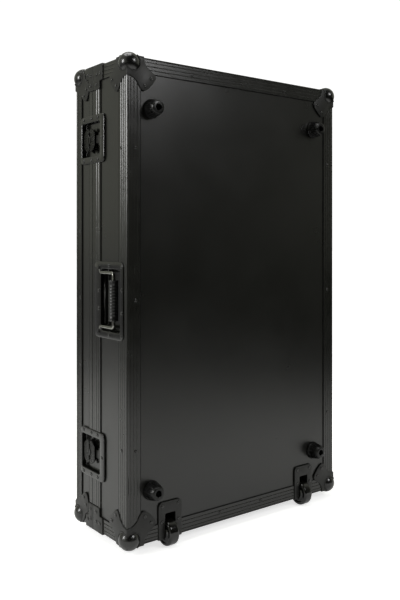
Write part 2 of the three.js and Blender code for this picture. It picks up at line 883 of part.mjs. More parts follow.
// Handles, drawn about the middle of their plate: u along the face, v towards the lid, w outwards
function handleDish() {
  const halfWell = handleWellLength / 2;
  const halfLength = halfWell + handlePlateBorder;
  const [plateLow, plateHigh] = [-handleWellLow - handlePlateLow, earReach + handlePlateHigh];
  const radii = Array(4).fill(dishCornerRadius);
  const plate = slab(
    roundedRectangle([-halfLength, halfLength], [plateLow, plateHigh], radii, 4),
    plateLift,
    plateTop,
  );
  const well = (grow, top) => slab(
    roundedRectangle(
      [-halfWell - grow, halfWell + grow],
      [-handleWellLow - grow, handleWellHigh + grow],
      Array(4).fill(wellCornerRadius + grow),
    ),
    -handleWellDepth - grow,
    top,
  );
  const ear = (side, grow, top) => block(
    [side * armSpread - earHalfWidth - grow, side * armSpread + earHalfWidth + grow],
    [0, earReach + grow],
    [-earDepth - grow, top],
  );
  const along = (side, near, far) => [side * near, side * far].sort((a, b) => a - b);
  const knuckle = (side) => {
    const [low, high] = along(side, armSpread + earHalfWidth + seatGap, armSpread + earHalfWidth + knuckleLength);
    return barAlongX(knuckleRadius, low, high, knuckleSegments).translate(0, pivotOffset, -rodDepth);
  };
  const bore = (side) => {
    const far = armSpread + earHalfWidth + knuckleLength - knuckleCap;
    const [low, high] = along(side, armSpread, far);
    return barAlongX(rodRadius + rodClearance, low, high, knuckleSegments).translate(0, pivotOffset, -rodDepth);
  };
  const both = [-1, 1];
  const shell = join(
    plate,
    well(dishWall, plateTop),
    ...both.map((side) => ear(side, dishWall, plateTop)),
    ...both.map(knuckle),
  );
  return cut(
    shell,
    well(0, overrun),
    ...both.map((side) => ear(side, 0, overrun)),
    ...both.map(bore),
  );
}

function bail() {
  const pin = armSpread + earHalfWidth + knuckleLength - knuckleCap - seatGap;
  const quarter = (u, v, from, to) => arc(u, v, rodBend, from, to, 3);
  const path = [
    [-pin, pivotOffset],
    ...quarter(-armSpread - rodBend, pivotOffset - rodBend, 90, 0),
    ...quarter(-armSpread + rodBend, gripOffset + rodBend, 180, 270),
    ...quarter(armSpread - rodBend, gripOffset + rodBend, 270, 360),
    ...quarter(armSpread + rodBend, pivotOffset - rodBend, 180, 90),
    [pin, pivotOffset],
  ];
  return sweptRod(path, rodRadius, rodSides, -rodDepth);
}

function grip() {
  const half = armSpread - gripEndGap;
  const bore = rodRadius + rodClearance;
  const profile = [
    [bore, -half],
    [gripRadius - gripEndGroove, -half],
    [gripRadius, -half + gripEndGroove],
    [gripRadius, -half + gripCollar],
    [gripRadius - gripEndGroove, -half + gripCollar + gripEndGroove],
    [gripRadius - gripEndGroove, half - gripCollar - gripEndGroove],
    [gripRadius, half - gripCollar],
    [gripRadius, half - gripEndGroove],
    [gripRadius - gripEndGroove, half],
    [bore, half],
    [bore, -half],
  ];
  const outline = profile.map(([r, h]) => new THREE.Vector2(r, h));
  const geometry = new THREE.LatheGeometry(outline, gripSegments);
  geometry.rotateZ(Math.PI / 2);
  geometry.translate(0, gripOffset, -rodDepth);
  return geometry;
}

function addHandles() {
  handlePlaces.forEach(([face, along], i) => {
    const frame = faceFrame(face, along);
    const plate = new THREE.Group();
    plate.position.set(0, handleOffset, 0);
    frame.add(plate);
    djCase.add(frame);
    addPiece(`${handleNames[i]}_handle_dish`, handleDish(), blackSteel, plate);
    addPiece(`${handleNames[i]}_handle_bail`, bail(), brightSteel, plate);
    addPiece(`${handleNames[i]}_handle_grip`, grip(), blackRubber, plate);
  });
}

// Latches, drawn about the parting line: u along the face, v towards the lid, w outwards
function latchDish(low, high, wellLow, wellHigh, radii) {
  const plate = slab(
    roundedRectangle([-latchHalfLength, latchHalfLength], [low, high], radii),
    plateLift,
    plateTop,
  );
  const well = block(
    [-latchWellHalf - dishWall, latchWellHalf + dishWall],
    [Math.max(wellLow - dishWall, low), Math.min(wellHigh + dishWall, high)],
    [-latchWellFloor - dishWall, plateTop],
  );
  const room = block(
    [-latchWellHalf, latchWellHalf],
    [wellLow, wellHigh],
    [-latchWellFloor, overrun],
  );
  return cut(join(plate, well), room);
}

function catchDish() {
  const edge = -partingGap / 2;
  const radii = [latchCornerRadius, latchCornerRadius, 0, 0];
  const dish = latchDish(-latchLowDepth, edge, -catchWellDepth, overrun, radii);
  const strikeTop = hookTop - hookThickness - strikeGap;
  const strike = block(
    [-strikeHalfWidth, strikeHalfWidth],
    [-strikeFar, -strikeNear],
    [-latchWellFloor - dishWall / 2, strikeTop],
  );
  return join(dish, strike);
}

function lidDish() {
  const edge = partingGap / 2;
  return latchDish(edge, latchHighDepth, -overrun, lidWellDepth, [0, 0, latchCornerRadius, latchCornerRadius]);
}

// Butterfly: a disc cut straight on two sides, with a waist at the hub and lips to turn it by
function wing() {
  const span = THREE.MathUtils.radToDeg(Math.acos(wingHalfDepth / wingRadius));
  const waistEdge = Math.sqrt(wingRadius ** 2 - wingWaistHalf ** 2);
  const waistAngle = THREE.MathUtils.radToDeg(Math.asin(waistEdge / wingRadius));
  const outline = [
    ...arc(0, 0, wingRadius, span, waistAngle, 3),
    [0, wingRadius - wingWaist],
    ...arc(0, 0, wingRadius, 180 - waistAngle, 180 - span, 3),
    ...arc(0, 0, wingRadius, 180 + span, 180 + waistAngle, 3),
    [0, wingWaist - wingRadius],
    ...arc(0, 0, wingRadius, 360 - waistAngle, 360 - span, 3),
  ].map(([v, u]) => [u, v]);
  const bottom = wingTop - wingThickness;
  const lipEdge = wingHalfDepth;
  const lipHalf = Math.sqrt(wingRadius ** 2 - wingHalfDepth ** 2);
  const lips = [-1, 1].map((side) => {
    const [low, high] = [side * lipEdge, side * (lipEdge - wingLip)].sort((a, b) => a - b);
    return block([-lipHalf, lipHalf], [low, high], [bottom, wingTop + wingLipRise]);
  });
  const footBottom = -latchWellFloor + seatGap;
  const body = join(
    slab(outline, bottom, wingTop),
    ...lips,
    barAlongZ(hubRadius, bottom, wingTop + hubRise, shaftSegments),
    barAlongZ(shaftRadius, footBottom, bottom + hubRise, shaftSegments),
  );
  return body.translate(0, wingOffset, 0);
}

function hook() {
  const low = hookTop - hookThickness;
  const radius = shaftRadius + slotClearance;
  const shank = hookNoseLength - hookNoseReach;
  const arm = block([-hookHalfWidth, hookHalfWidth], [-hookNoseReach, hookTail], [low, hookTop]);
  const nose = block([-hookNoseHalfWidth, hookNoseHalfWidth], [-hookNoseReach, shank], [low, hookTop]);
  const slot = slab(
    [
      ...arc(0, wingOffset, radius, 180, 360, 6),
      ...arc(0, wingOffset + hookTravel, radius, 0, 180, 6),
    ],
    low - overrun,
    hookTop + overrun,
  );
  return cut(join(arm, nose), slot);
}

function addLatches() {
  latchPlaces.forEach(([face, along], i) => {
    const frame = faceFrame(face, along);
    djCase.add(frame);
    addPiece(`catch_dish_${latchNames[i]}`, catchDish(), blackSteel, frame);
    addPiece(`latch_dish_${latchNames[i]}`, lidDish(), blackSteel, frame);
    addPiece(`latch_wing_${latchNames[i]}`, wing(), blackSteel, frame);
    addPiece(`latch_hook_${latchNames[i]}`, hook(), blackSteel, frame);
  });
}

// Foam: a lining in the base with a thick block round the wheel housings, and a slab in the lid
function addFoam() {
  const outerX = halfWidth - panelEdge;
  const innerX = outerX - foamWall;
  const outerZ = [shellBottom + panelEdge, shellTop - panelEdge];
  const floorY = undersideY + panelEdge;
  const tub = block([-outerX, outerX], [floorY, partingY - foamRimGap], outerZ);
  const room = block(
    [-innerX, innerX],
    [floorY + foamFloor, partingY],
    [outerZ[0] + foamWheelBlock, outerZ[1] - foamWall],
  );
  const handleRoom = [...handleOpenings, ...handlePlaces.map(handlePocket)];
  addPiece('base_foam', cut(tub, room, ...wheelOpenings, ...handleRoom), darkFoam);
  const inset = innerLegReach + seatGap;
  const slabFace = lidY - panelInner - seatGap;
  const lidFoam = block(
    [-halfWidth + inset, halfWidth - inset],
    [slabFace - lidFoamThickness, slabFace],
    [shellBottom + inset, shellTop - inset],
  );
  addPiece('lid_foam', lidFoam, darkFoam);
}

addPanels();
addBaseEdges();
addFrames();
addBallCorners();
addFeet();
addWheels();
addHandles();
addLatches();
addFoam();

export default djCase;
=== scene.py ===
"""Looks of the upright flight case: finishes, pressed hardware, rivets, camera and studio."""

import json
import math

import bpy
import numpy as np
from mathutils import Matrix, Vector


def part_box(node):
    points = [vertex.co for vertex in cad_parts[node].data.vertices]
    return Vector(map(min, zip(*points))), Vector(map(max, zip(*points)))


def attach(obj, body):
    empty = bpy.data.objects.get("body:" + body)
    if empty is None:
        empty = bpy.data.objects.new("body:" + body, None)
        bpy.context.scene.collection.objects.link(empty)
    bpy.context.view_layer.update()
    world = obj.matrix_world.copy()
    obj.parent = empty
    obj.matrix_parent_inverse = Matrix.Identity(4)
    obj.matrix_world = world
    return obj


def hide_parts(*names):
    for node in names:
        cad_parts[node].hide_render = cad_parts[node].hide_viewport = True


MM = 0.001

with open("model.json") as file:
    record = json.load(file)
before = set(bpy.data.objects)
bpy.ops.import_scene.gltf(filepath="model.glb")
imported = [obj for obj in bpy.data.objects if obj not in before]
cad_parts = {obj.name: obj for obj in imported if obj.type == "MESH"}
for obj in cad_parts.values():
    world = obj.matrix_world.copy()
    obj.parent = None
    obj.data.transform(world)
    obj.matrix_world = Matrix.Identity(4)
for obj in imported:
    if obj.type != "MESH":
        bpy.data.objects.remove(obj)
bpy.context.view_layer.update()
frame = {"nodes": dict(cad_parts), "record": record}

# Planes of the shell, read from the frame
RIDGE_RISE = 0.5 * MM
edge_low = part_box("base_edge_front")[0]
FRONT = edge_low.x + RIDGE_RISE
REAR = -FRONT
UNDERSIDE = edge_low.y + RIDGE_RISE
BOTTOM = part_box("base_edge_between_wheels")[0].z + RIDGE_RISE
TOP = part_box("base_edge_top")[1].z - RIDGE_RISE
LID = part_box("lid_frame")[1].y - RIDGE_RISE
PARTING = (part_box("catch_dish_front_low")[1].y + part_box("latch_dish_front_low")[0].y) / 2

# Camera: level, with the view moved down by its shift
CAMERA_TURN = 37.35
CAMERA_FROM_EDGE = (-728.3 * MM, -1182.7 * MM)
CAMERA_HEIGHT = 587.4 * MM
LENS = 43.67
SENSOR_WIDTH = 36
HORIZON_SHIFT = -0.09975


def make_camera():
    """Camera beside the near upright edge of the shell, level, looking along the turn."""
    data = bpy.data.cameras.new("camera")
    data.lens = LENS
    data.sensor_width = SENSOR_WIDTH
    data.shift_y = HORIZON_SHIFT
    camera = bpy.data.objects.new("camera", data)
    camera.location = (FRONT + CAMERA_FROM_EDGE[0], UNDERSIDE + CAMERA_FROM_EDGE[1], BOTTOM + CAMERA_HEIGHT)
    camera.rotation_euler = (math.radians(90), 0, math.radians(-CAMERA_TURN))
    bpy.context.scene.collection.objects.link(camera)
    bpy.context.scene.camera = camera


make_camera()


# Faces of the shell. Each has an origin and the directions of its u, v and w, with w outwards.
FACES = {
    "front": ((FRONT, PARTING, BOTTOM), (0, 0, 1), (0, 1, 0), (-1, 0, 0)),
    "rear": ((REAR, PARTING, BOTTOM), (0, 0, 1), (0, 1, 0), (1, 0, 0)),
    "top": ((0, PARTING, TOP), (1, 0, 0), (0, 1, 0), (0, 0, 1)),
    "wheel_end": ((0, PARTING, BOTTOM), (1, 0, 0), (0, 1, 0), (0, 0, -1)),
    "underside": ((0, UNDERSIDE, BOTTOM), (1, 0, 0), (0, 0, 1), (0, -1, 0)),
    "lid": ((0, LID, BOTTOM), (1, 0, 0), (0, 0, 1), (0, 1, 0)),
}


def skin(rings, is_loop=False, is_open=False):
    """Closed surface through rings of equally many points: capped at both ends, or joined into a loop.

    Where the rings are open, their two ends all lie in one plane, which is filled in.
    """
    rings = np.asarray(rings, float)
    rows, count = rings.shape[:2]
    grid = np.arange(rows * count).reshape(rows, count)
    low = grid if is_loop else grid[:-1]
    high = np.roll(grid, -1, 0) if is_loop else grid[1:]
    quads = np.stack([low, np.roll(low, -1, 1), np.roll(high, -1, 1), high], -1)
    faces = quads[:, : count - is_open].reshape(-1, 4).tolist()
    if not is_loop:
        faces += [grid[0, ::-1].tolist(), grid[-1].tolist()]
    if is_open:
        faces.append(grid[:, 0].tolist() + grid[::-1, -1].tolist())
    return rings.reshape(-1, 3), faces


def together(parts):
    """Several (vertices, faces) pairs as one pair."""
    vertices, faces, start = [], [], 0
    for some_vertices, some_faces in parts:
        vertices.append(some_vertices)
        faces += [[corner + start for corner in face] for face in some_faces]
        start += len(some_vertices)
    return np.concatenate(vertices), faces


def volume_of(vertices, faces):
    """Signed volume of a closed surface: the sum of the tetrahedra from the origin to each fan triangle."""
    total = 0.0
    for count in {len(face) for face in faces}:
        group = np.array([face for face in faces if len(face) == count])
        first = vertices[group[:, 0]]
        for k in range(1, count - 1):
            across = np.cross(vertices[group[:, k]], vertices[group[:, k + 1]])
            total += np.einsum("ij,ij->i", first, across).sum()
    return total / 6


def object_from(name, parts):
    """Object from closed (vertices, faces) parts in metres, each turned to face outwards."""
    vertices, faces = together([
        (vertices, faces if volume_of(vertices, faces) > 0 else [face[::-1] for face in faces])
        for vertices, faces in parts
    ])
    mesh = bpy.data.meshes.new(name)
    mesh.from_pydata(vertices.tolist(), [], faces)
    mesh.validate()
    mesh.update()
    piece = bpy.data.objects.new(name, mesh)
    bpy.context.scene.collection.objects.link(piece)
    return piece


def carve(piece, cutters):
    """Cut closed parts out of a piece."""
    tool = object_from(piece.name + "_cutters", cutters)
    modifier = piece.modifiers.new("cut", "BOOLEAN")
    modifier.operation = "DIFFERENCE"
    modifier.solver = "EXACT"
    modifier.object = tool
    depsgraph = bpy.context.evaluated_depsgraph_get()
    mesh = bpy.data.meshes.new_from_object(piece.evaluated_get(depsgraph))
    piece.modifiers.clear()
    piece.data = mesh
    bpy.data.objects.remove(tool)


def make_piece(name, parts, material, body, replaces=(), sharp=35, cutters=()):
    """A finished piece from closed parts, less its cutters, riding on a body."""
    piece = object_from(name, parts)
    if cutters:
        carve(piece, cutters)
    mesh = piece.data
    mesh.shade_smooth()
    mesh.set_sharp_from_angle(angle=math.radians(sharp))
    mesh.materials.clear()
    mesh.materials.append(material)
    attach(piece, body)
    if replaces:
        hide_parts(*replaces)
    return piece


# Outlines, in millimetres


def arc(centre, radius, start, end, steps):
    """Points of an arc from one angle to another, in degrees, with both of its ends."""
    turn = np.radians(np.linspace(start, end, steps + 1))
    return np.stack([centre[0] + radius * np.cos(turn), centre[1] + radius * np.sin(turn)], -1)


def rounded_rectangle(u_range, v_range, radii, steps=5):
    """Anticlockwise rectangle with a radius for each corner, the lowest first."""
    (u0, u1), (v0, v1) = u_range, v_range
    a, b, c, d = np.broadcast_to(radii, 4)
    return np.concatenate([
        arc((u0 + a, v0 + a), a, 180, 270, steps),
        arc((u1 - b, v0 + b), b, 270, 360, steps),
        arc((u1 - c, v1 - c), c, 0, 90, steps),
        arc((u0 + d, v1 - d), d, 90, 180, steps),
    ])


def rounded(corners, radii, steps=4):
    """Closed outline where each corner with a radius becomes an arc tangent to its two sides."""
    corners = np.asarray(corners, float)
    back = np.roll(corners, 1, 0) - corners
    ahead = np.roll(corners, -1, 0) - corners
    back /= np.linalg.norm(back, axis=1, keepdims=True)
    ahead /= np.linalg.norm(ahead, axis=1, keepdims=True)
    points = []
    for corner, one, two, radius in zip(corners, back, ahead, np.broadcast_to(radii, len(corners))):
        if radius == 0:
            points.append(corner[None])
            continue
        half = math.acos(np.clip(one @ two, -1, 1)) / 2
        middle = (one + two) / np.linalg.norm(one + two) * radius / math.sin(half)
        first, last = one * radius / math.tan(half) - middle, two * radius / math.tan(half) - middle
        sweep = math.pi - 2 * half
        share = np.linspace(0, sweep, steps + 1)[:, None]
        swing = np.sin(sweep - share) * first + np.sin(share) * last
        points.append(corner + middle + swing / math.sin(sweep))
    return np.concatenate(points)


def curve_through(points, steps=4):
    """Smooth open curve through points: each stretch is a cubic whose slopes follow the points beside it."""
    points = np.asarray(points, float)
    slopes = np.gradient(points, axis=0)
    share = np.linspace(0, 1, steps, endpoint=False)[:, None]
    stretches = [
        (1 + 2 * share) * (1 - share) ** 2 * start
        + share * (1 - share) ** 2 * leaving
        + share**2 * (3 - 2 * share) * end
        - share**2 * (1 - share) * arriving
        for start, end, leaving, arriving in zip(points[:-1], points[1:], slopes[:-1], slopes[1:])
    ]
    return np.concatenate([*stretches, points[-1:]])


def inset(outline, amount, is_open=False):
    """The outline with each side moved to its left by amount, and the corners mitred."""
    along = np.roll(outline, -1, 0) - outline
    if is_open:
        along[-1] = along[-2]
    along /= np.linalg.norm(along, axis=1, keepdims=True)
    normal = np.stack([-along[:, 1], along[:, 0]], -1)
    before = np.roll(normal, 1, 0)
    if is_open:
        before[0] = normal[0]
    mitre = (normal + before) / (1 + (normal * before).sum(1, keepdims=True))
    return outline + amount * mitre


def lift(outline, height):
    """The outline as points at one height."""
    return np.concatenate([outline, np.full((len(outline), 1), float(height))], 1)


# Rings of points, in millimetres: u and v along a face, w out of it


def quarter(outline, radius, level, up, angles, is_open=False, steps=3):
    """Quarter round: in by radius * (1 - cos(angle)) and off its level by radius * (1 - sin(angle))."""
    return [
        lift(inset(outline, radius * (1 - math.cos(a)), is_open), level + up * radius * (1 - math.sin(a)))
        for a in np.radians(np.linspace(*angles, steps + 1))
    ]


def raised(outline, low, high, rim, is_open=False, steps=3):
    """Rings up the side of a plate and round its rim onto the flat."""
    return [lift(outline, low), *quarter(outline, rim, high, -1, (0, 90), is_open, steps)]


def sunk(outline, high, low, lip, fillet, is_open=False):
    """Rings over the lip of a well, down its wall and round its fillet onto the floor."""
    over = quarter(outline, -lip, high, 1, (90, 0), is_open)
    return over + quarter(outline, fillet, low, 1, (0, 90), is_open)


def prism(outline, low, high, rim, steps=3):
    """Closed part over an outline, with a round rim at both ends."""
    bottom = quarter(outline, rim, low, 1, (90, 0), steps=steps)
    return skin(bottom + raised(outline, low, high, rim, steps=steps)[1:])


def brick(u_range, v_range, w_range, rim=0.4, corner=0.6):
    """Block with round edges."""
    return prism(rounded_rectangle(u_range, v_range, corner, 2), *w_range, rim, 2)


def dish(plate, well, plate_low, plate_high, floor, wall, rim, fillet, is_open=False):
    """Closed sheet: a plate with a well pressed into it. Both outlines have as many points."""
    back = [
        lift(inset(well, fillet - wall, is_open), floor - wall),
        lift(inset(well, -wall, is_open), floor - wall + fillet),
        lift(inset(well, -wall, is_open), plate_low),
    ]
    front = raised(plate, plate_low, plate_high, rim, is_open)
    rings = back + front + sunk(well, plate_high, floor, rim, fillet, is_open)
    return skin(rings, is_open=is_open)


def lathe(profile, sides, is_loop=False):
    """Turned part round the w axis, from the radius and height of each ring: capped, or closed as a loop."""
    profile = np.asarray(profile, float)
    turn = np.linspace(0, 2 * math.pi, sides, endpoint=False)
    rings = np.stack([
        profile[:, :1] * np.cos(turn),
        profile[:, :1] * np.sin(turn),
        np.repeat(profile[:, 1:], sides, 1),
    ], -1)
    return skin(rings, is_loop)


def tube(path, radius, sides=14, normal=(0, 0, 1)):
    """Round rod along a path that bends across normal. The radius may change from point to point."""
    path = np.asarray(path, float)
    heading = np.gradient(path, axis=0)
    heading /= np.linalg.norm(heading, axis=1, keepdims=True)
    side = np.cross(heading, normal)
    turn = np.linspace(0, 2 * math.pi, sides, endpoint=False)[None, :, None]
    across = np.cos(turn) * side[:, None] + np.sin(turn) * np.array(normal, float)
    return skin(path[:, None] + np.broadcast_to(radius, len(path))[:, None, None] * across)


def rod(low, high, radii, taper, height=0.0, sides=16):
    """Straight rod along u: radii are those of its two ends and of all that lies a taper in from them."""
    end, middle = radii
    path = [(u, 0, height) for u in (low, low + taper, high - taper, high)]
    return tube(path, (end, middle, middle, end), sides)


def strip(profile, low, high):
    """Closed part: a profile in v and w carried along u from low to high."""
    return skin([np.concatenate([np.full((len(profile), 1), float(u)), profile], 1) for u in (low, high)])


def moved(part, shift):
    """A part moved by a number of millimetres."""
    return part[0] + np.array(shift, float), part[1]


def turned(part, columns, signs=(1, 1, 1)):
    """A part whose three coordinates are taken in another order, with signs."""
    return part[0][:, list(columns)] * np.array(signs, float), part[1]


def on_face(face, parts, u=0.0, v=0.0):
    """Parts in millimetres laid on one face of the shell at u and v, as parts in metres."""
    origin, *axes = (np.array(row, float) for row in FACES[face])
    return [(origin + (points + (u, v, 0)) * MM @ axes, faces) for points, faces in parts]


# Materials


def new_material(name):
    """A node material with its tree, its shader and the Object coordinates of the piece."""
    material = bpy.data.materials.new(name)
    material.use_nodes = True
    tree = material.node_tree
    coordinates = tree.nodes.new("ShaderNodeTexCoord").outputs["Object"]
    return material, tree, tree.nodes["Principled BSDF"], coordinates


def noise(tree, coordinates, scale, detail):
    """Noise in Object coordinates, as a value round one half."""
    texture = tree.nodes.new("ShaderNodeTexNoise")
    texture.inputs["Scale"].default_value = scale
    texture.inputs["Detail"].default_value = detail
    tree.links.new(coordinates, texture.inputs["Vector"])
    return texture.outputs["Fac"]


def faded(tree, value, start, end, low, high, kind="SMOOTHSTEP"):
    """A value that goes from low at start to high at end, and no further."""
    remap = tree.nodes.new("ShaderNodeMapRange")
    remap.interpolation_type = kind
    for name, number in (("From Min", start), ("From Max", end), ("To Min", low), ("To Max", high)):
        remap.inputs[name].default_value = number
    tree.links.new(value, remap.inputs["Value"])
    return remap.outputs["Result"]


def shade(tree, value, dark, light):
    """A value from 0 to 1 as a colour between dark and light."""
    mix = tree.nodes.new("ShaderNodeMix")
    mix.data_type = "RGBA"
    mix.inputs["A"].default_value = (*dark, 1)
    mix.inputs["B"].default_value = (*light, 1)
    tree.links.new(value, mix.inputs["Factor"])
    return mix.outputs["Result"]


def bump(tree, value, distance):
    """Height from a value, as a normal."""
    node = tree.nodes.new("ShaderNodeBump")
    node.inputs["Distance"].default_value = distance
    tree.links.new(value, node.inputs["Height"])
    return node.outputs["Normal"]


# Range in which most of the noise of the clouds lies
CLOUD_LOW = 0.3
CLOUD_HIGH = 0.7


def coated(name, dark, light, rough, grain, depth, clouds, metallic=0.0, ior=1.5):
    """A finish with clouded colour, uneven roughness and a fine grain, whose depth is in millimetres."""
    material, tree, shader, coordinates = new_material(name)
    cloud = noise(tree, coordinates, clouds, 4.0)
    fine = noise(tree, coordinates, grain, 2.0)
    tree.links.new(shade(tree, cloud, dark, light), shader.inputs["Base Color"])
    tree.links.new(faded(tree, cloud, CLOUD_LOW, CLOUD_HIGH, *rough, "LINEAR"), shader.inputs["Roughness"])
    tree.links.new(bump(tree, fine, depth * MM), shader.inputs["Normal"])
    shader.inputs["Metallic"].default_value = metallic
    shader.inputs["IOR"].default_value = ior
    return material


LAMINATE = coated(
    "black_laminate", (0.0030, 0.0031, 0.0023), (0.0046, 0.0047, 0.0036), (0.27, 0.32),
    grain=900, depth=0.04, clouds=9,
)
ANODISED = coated(
    "black_anodised", (0.005, 0.0051, 0.004), (0.008, 0.0082, 0.0066), (0.22, 0.28),
    grain=700, depth=0.01, clouds=30, ior=1.49,
)
PRESSED = coated(
    "black_pressed_steel", (0.004, 0.004, 0.0035), (0.006, 0.006, 0.005), (0.40, 0.48),
    grain=800, depth=0.05, clouds=40, ior=1.42,
)
GLOSSY = coated(
    "black_gloss_steel", (0.003, 0.003, 0.0026), (0.005, 0.005, 0.0043), (0.13, 0.22),
    grain=420, depth=0.09, clouds=50, ior=1.48,
)
WING = coated(
    "black_wing_steel", (0.002, 0.002, 0.0018), (0.004, 0.004, 0.0035), (0.12, 0.2),
    grain=420, depth=1.2, clouds=60, ior=1.27,
)
POLISHED = coated(
    "black_polished_steel", (0.002, 0.002, 0.0018), (0.003, 0.003, 0.0026), (0.2, 0.28),
    grain=300, depth=0.01, clouds=50, ior=1.55,
)
PLATED = coated(
    "plated_steel", (0.30, 0.30, 0.29), (0.42, 0.42, 0.40), (0.2, 0.32),
    grain=500, depth=0.02, clouds=60, metallic=1.0,
)
RUBBER = coated(
    "black_rubber", (0.002, 0.002, 0.002), (0.004, 0.004, 0.004), (0.24, 0.34),
    grain=600, depth=0.04, clouds=50, ior=1.34,
)
# Painted shade: a near-black matte finish for the strips that stand for the shadow in the step beside each
# flange
PAINTED_SHADE = coated(
    "painted_shade_black", (0.002, 0.002, 0.002), (0.004, 0.004, 0.004), (0.8, 0.95),
    grain=400, depth=0.1, clouds=80, ior=1.25,
)
FOAM = coated(
    "dark_foam", (0.020, 0.021, 0.023), (0.035, 0.036, 0.04), (0.9, 1.0),
    grain=350, depth=0.4, clouds=160,
)
RIVET = coated(
    "black_rivet_steel", (0.008, 0.008, 0.0075), (0.016, 0.016, 0.015), (0.16, 0.26),
    grain=600, depth=0.02, clouds=90, metallic=0.2,
)
BAIL = coated(
    "plated_bail_rod", (0.14, 0.14, 0.13), (0.22, 0.22, 0.20), (0.16, 0.26),
    grain=500, depth=0.02, clouds=60, metallic=1.0,
)
GRIP = coated(
    "black_grip_rubber", (0.003, 0.003, 0.003), (0.006, 0.006, 0.006), (0.26, 0.36),
    grain=700, depth=0.04, clouds=50,
)
TYRE = coated(
    "black_tyre_rubber", (0.003, 0.003, 0.0027), (0.006, 0.006, 0.005), (0.08, 0.16),
    grain=500, depth=0.03, clouds=50,
)
FINISHES = {
    "black_laminate": LAMINATE,
    "black_aluminium": ANODISED,
    "black_steel": PRESSED,
    "bright_steel": PLATED,
    "black_rubber": RUBBER,
    "dark_foam": FOAM,
}

# Each CAD node takes the finish of its material slot
for row in frame["record"]["subparts"]:
    node_mesh = frame["nodes"][row["node"]].data
    node_mesh.materials.clear()
    node_mesh.materials.append(FINISHES[row["material_slot"]])

# Places on the shell, in millimetres. Along a long side u is the height above the shell's lower end.
SHELL_WIDTH = 570
SHELL_HEIGHT = 940
BASE_DEPTH = 127.7
LID_DEPTH = 76.3
EDGE_FLANGE = 30
LID_FLANGE = 24.5
BASE_RIM = -25
LID_RIM = 18.9
PLATE_LOW = 0.8
PLATE_TOP = 2.0
SHEET = 1.2
HALF_WIDTH = SHELL_WIDTH / 2
LONG_SIDE = (0, SHELL_HEIGHT)
END_SIDE = (-HALF_WIDTH, HALF_WIDTH)
SIDES = {"front": LONG_SIDE, "rear": LONG_SIDE, "wheel_end": END_SIDE, "top": END_SIDE}
LATCH_PLACES = {"low": 151.5, "high": 793.0}
LATCHES = {f"{face}_{end}": (face, u) for face in ("front", "rear") for end, u in LATCH_PLACES.items()}
HANDLES = {"front": ("front", 469.0), "tow": ("top", 0.0)}
HANDLE_MIDDLE = -60.95
WHEELS = {"near": -185.8, "far": 185.8}
CORNERS = {"front_low": (-1, -1), "rear_low": (1, -1), "front_high": (-1, 1), "rear_high": (1, 1)}

rivet_parts = {"base": [], "lid": []}


def rivet(radius=3.9):
    """Tubular rivet: a low dome with a rolled rim and a dimple in its middle."""
    return lathe([
        (radius, -0.3), (radius, 0.25), (radius * 0.93, 0.75), (radius * 0.72, 1.25), (radius * 0.45, 1.4),
        (radius * 0.3, 1.2), (radius * 0.2, 0.6), (0.05, 0.5),
    ], 14)


def add_rivets(body, face, places, height=0.0):
    """Rivets at places (u, v) on one face, standing on a surface at a height."""
    for u, v in places:
        rivet_parts[body] += on_face(face, [moved(rivet(), (0, 0, height))], u, v)


def at_corner(half, name, parts):
    """Parts measured from a corner of the shell into the case, as parts in metres."""
    side_x, side_z = CORNERS[name]
    origin = np.array((side_x * REAR, UNDERSIDE if half == "base" else LID, BOTTOM if side_z < 0 else TOP))
    inward = np.array((-side_x, 1 if half == "base" else -1, -side_z)) * MM
    return [(origin + points * inward, faces) for points, faces in parts]


# Turns of a part drawn flat on each of the three faces that meet at a corner
CORNER_FACES = {
    "big": ((0, 2, 1), (1, -1, 1)),
    "side": ((2, 0, 1), (-1, 1, 1)),
    "end": ((1, 0, 2), (1, 1, -1)),
}
BALL_RADIUS = 21
BALL_MIDDLE = 12
BALL_CUT = 1.5
COLLAR_RADIUS = 1.7
COLLAR_REACH = 16.9
COLLAR_HEIGHT = 1.6
FOLD_START = 18
FOLD_ENDS = {"base": (38, 38, 38), "lid": (38, 31, 38)}
CORNER_RIVETS = {"base": [(39.5, 54), (54, 39.5)], "lid": [(36.5, 53), (46, 40)]}
CORNER_HALF = [(0, 38), (11, 40), (21.5, 48), (27, 57), (33.5, 63.5), (40, 64), (48.5, 58.5)]
LID_CORNER = [
    (0, 37), (6, 41), (17, 46.5), (27.5, 55), (34, 61.5), (43.5, 64), (51, 58), (56, 48), (56.5, 39),
    (55, 28), (51, 25), (45.5, 22.5), (40, 11), (31, 0),
]


def ball():
    """Sphere whose part inside the shell is flattened onto a cube.

    Where all three distances from the faces are more than BALL_CUT, the smallest is set back to it.
    """
    points, faces = lathe(arc((0, 0), BALL_RADIUS, -89, 89, 26), 44)
    points = points + BALL_MIDDLE
    nearest = points.argmin(1)
    rows = np.arange(len(points))
    points[rows, nearest] = np.minimum(points[rows, nearest], BALL_CUT)
    return points, faces


def corner_outline(half):
    """Lobed plate of a ball corner, the shell's corner at its origin.

    The base's has two halves alike. On the shallow sides of the lid u runs away from the lid's face.
    """
    points = CORNER_HALF + [(v, u) for u, v in CORNER_HALF[::-1]] if half == "base" else LID_CORNER
    return np.concatenate([[(0, 0)], curve_through(points)])[::-1]


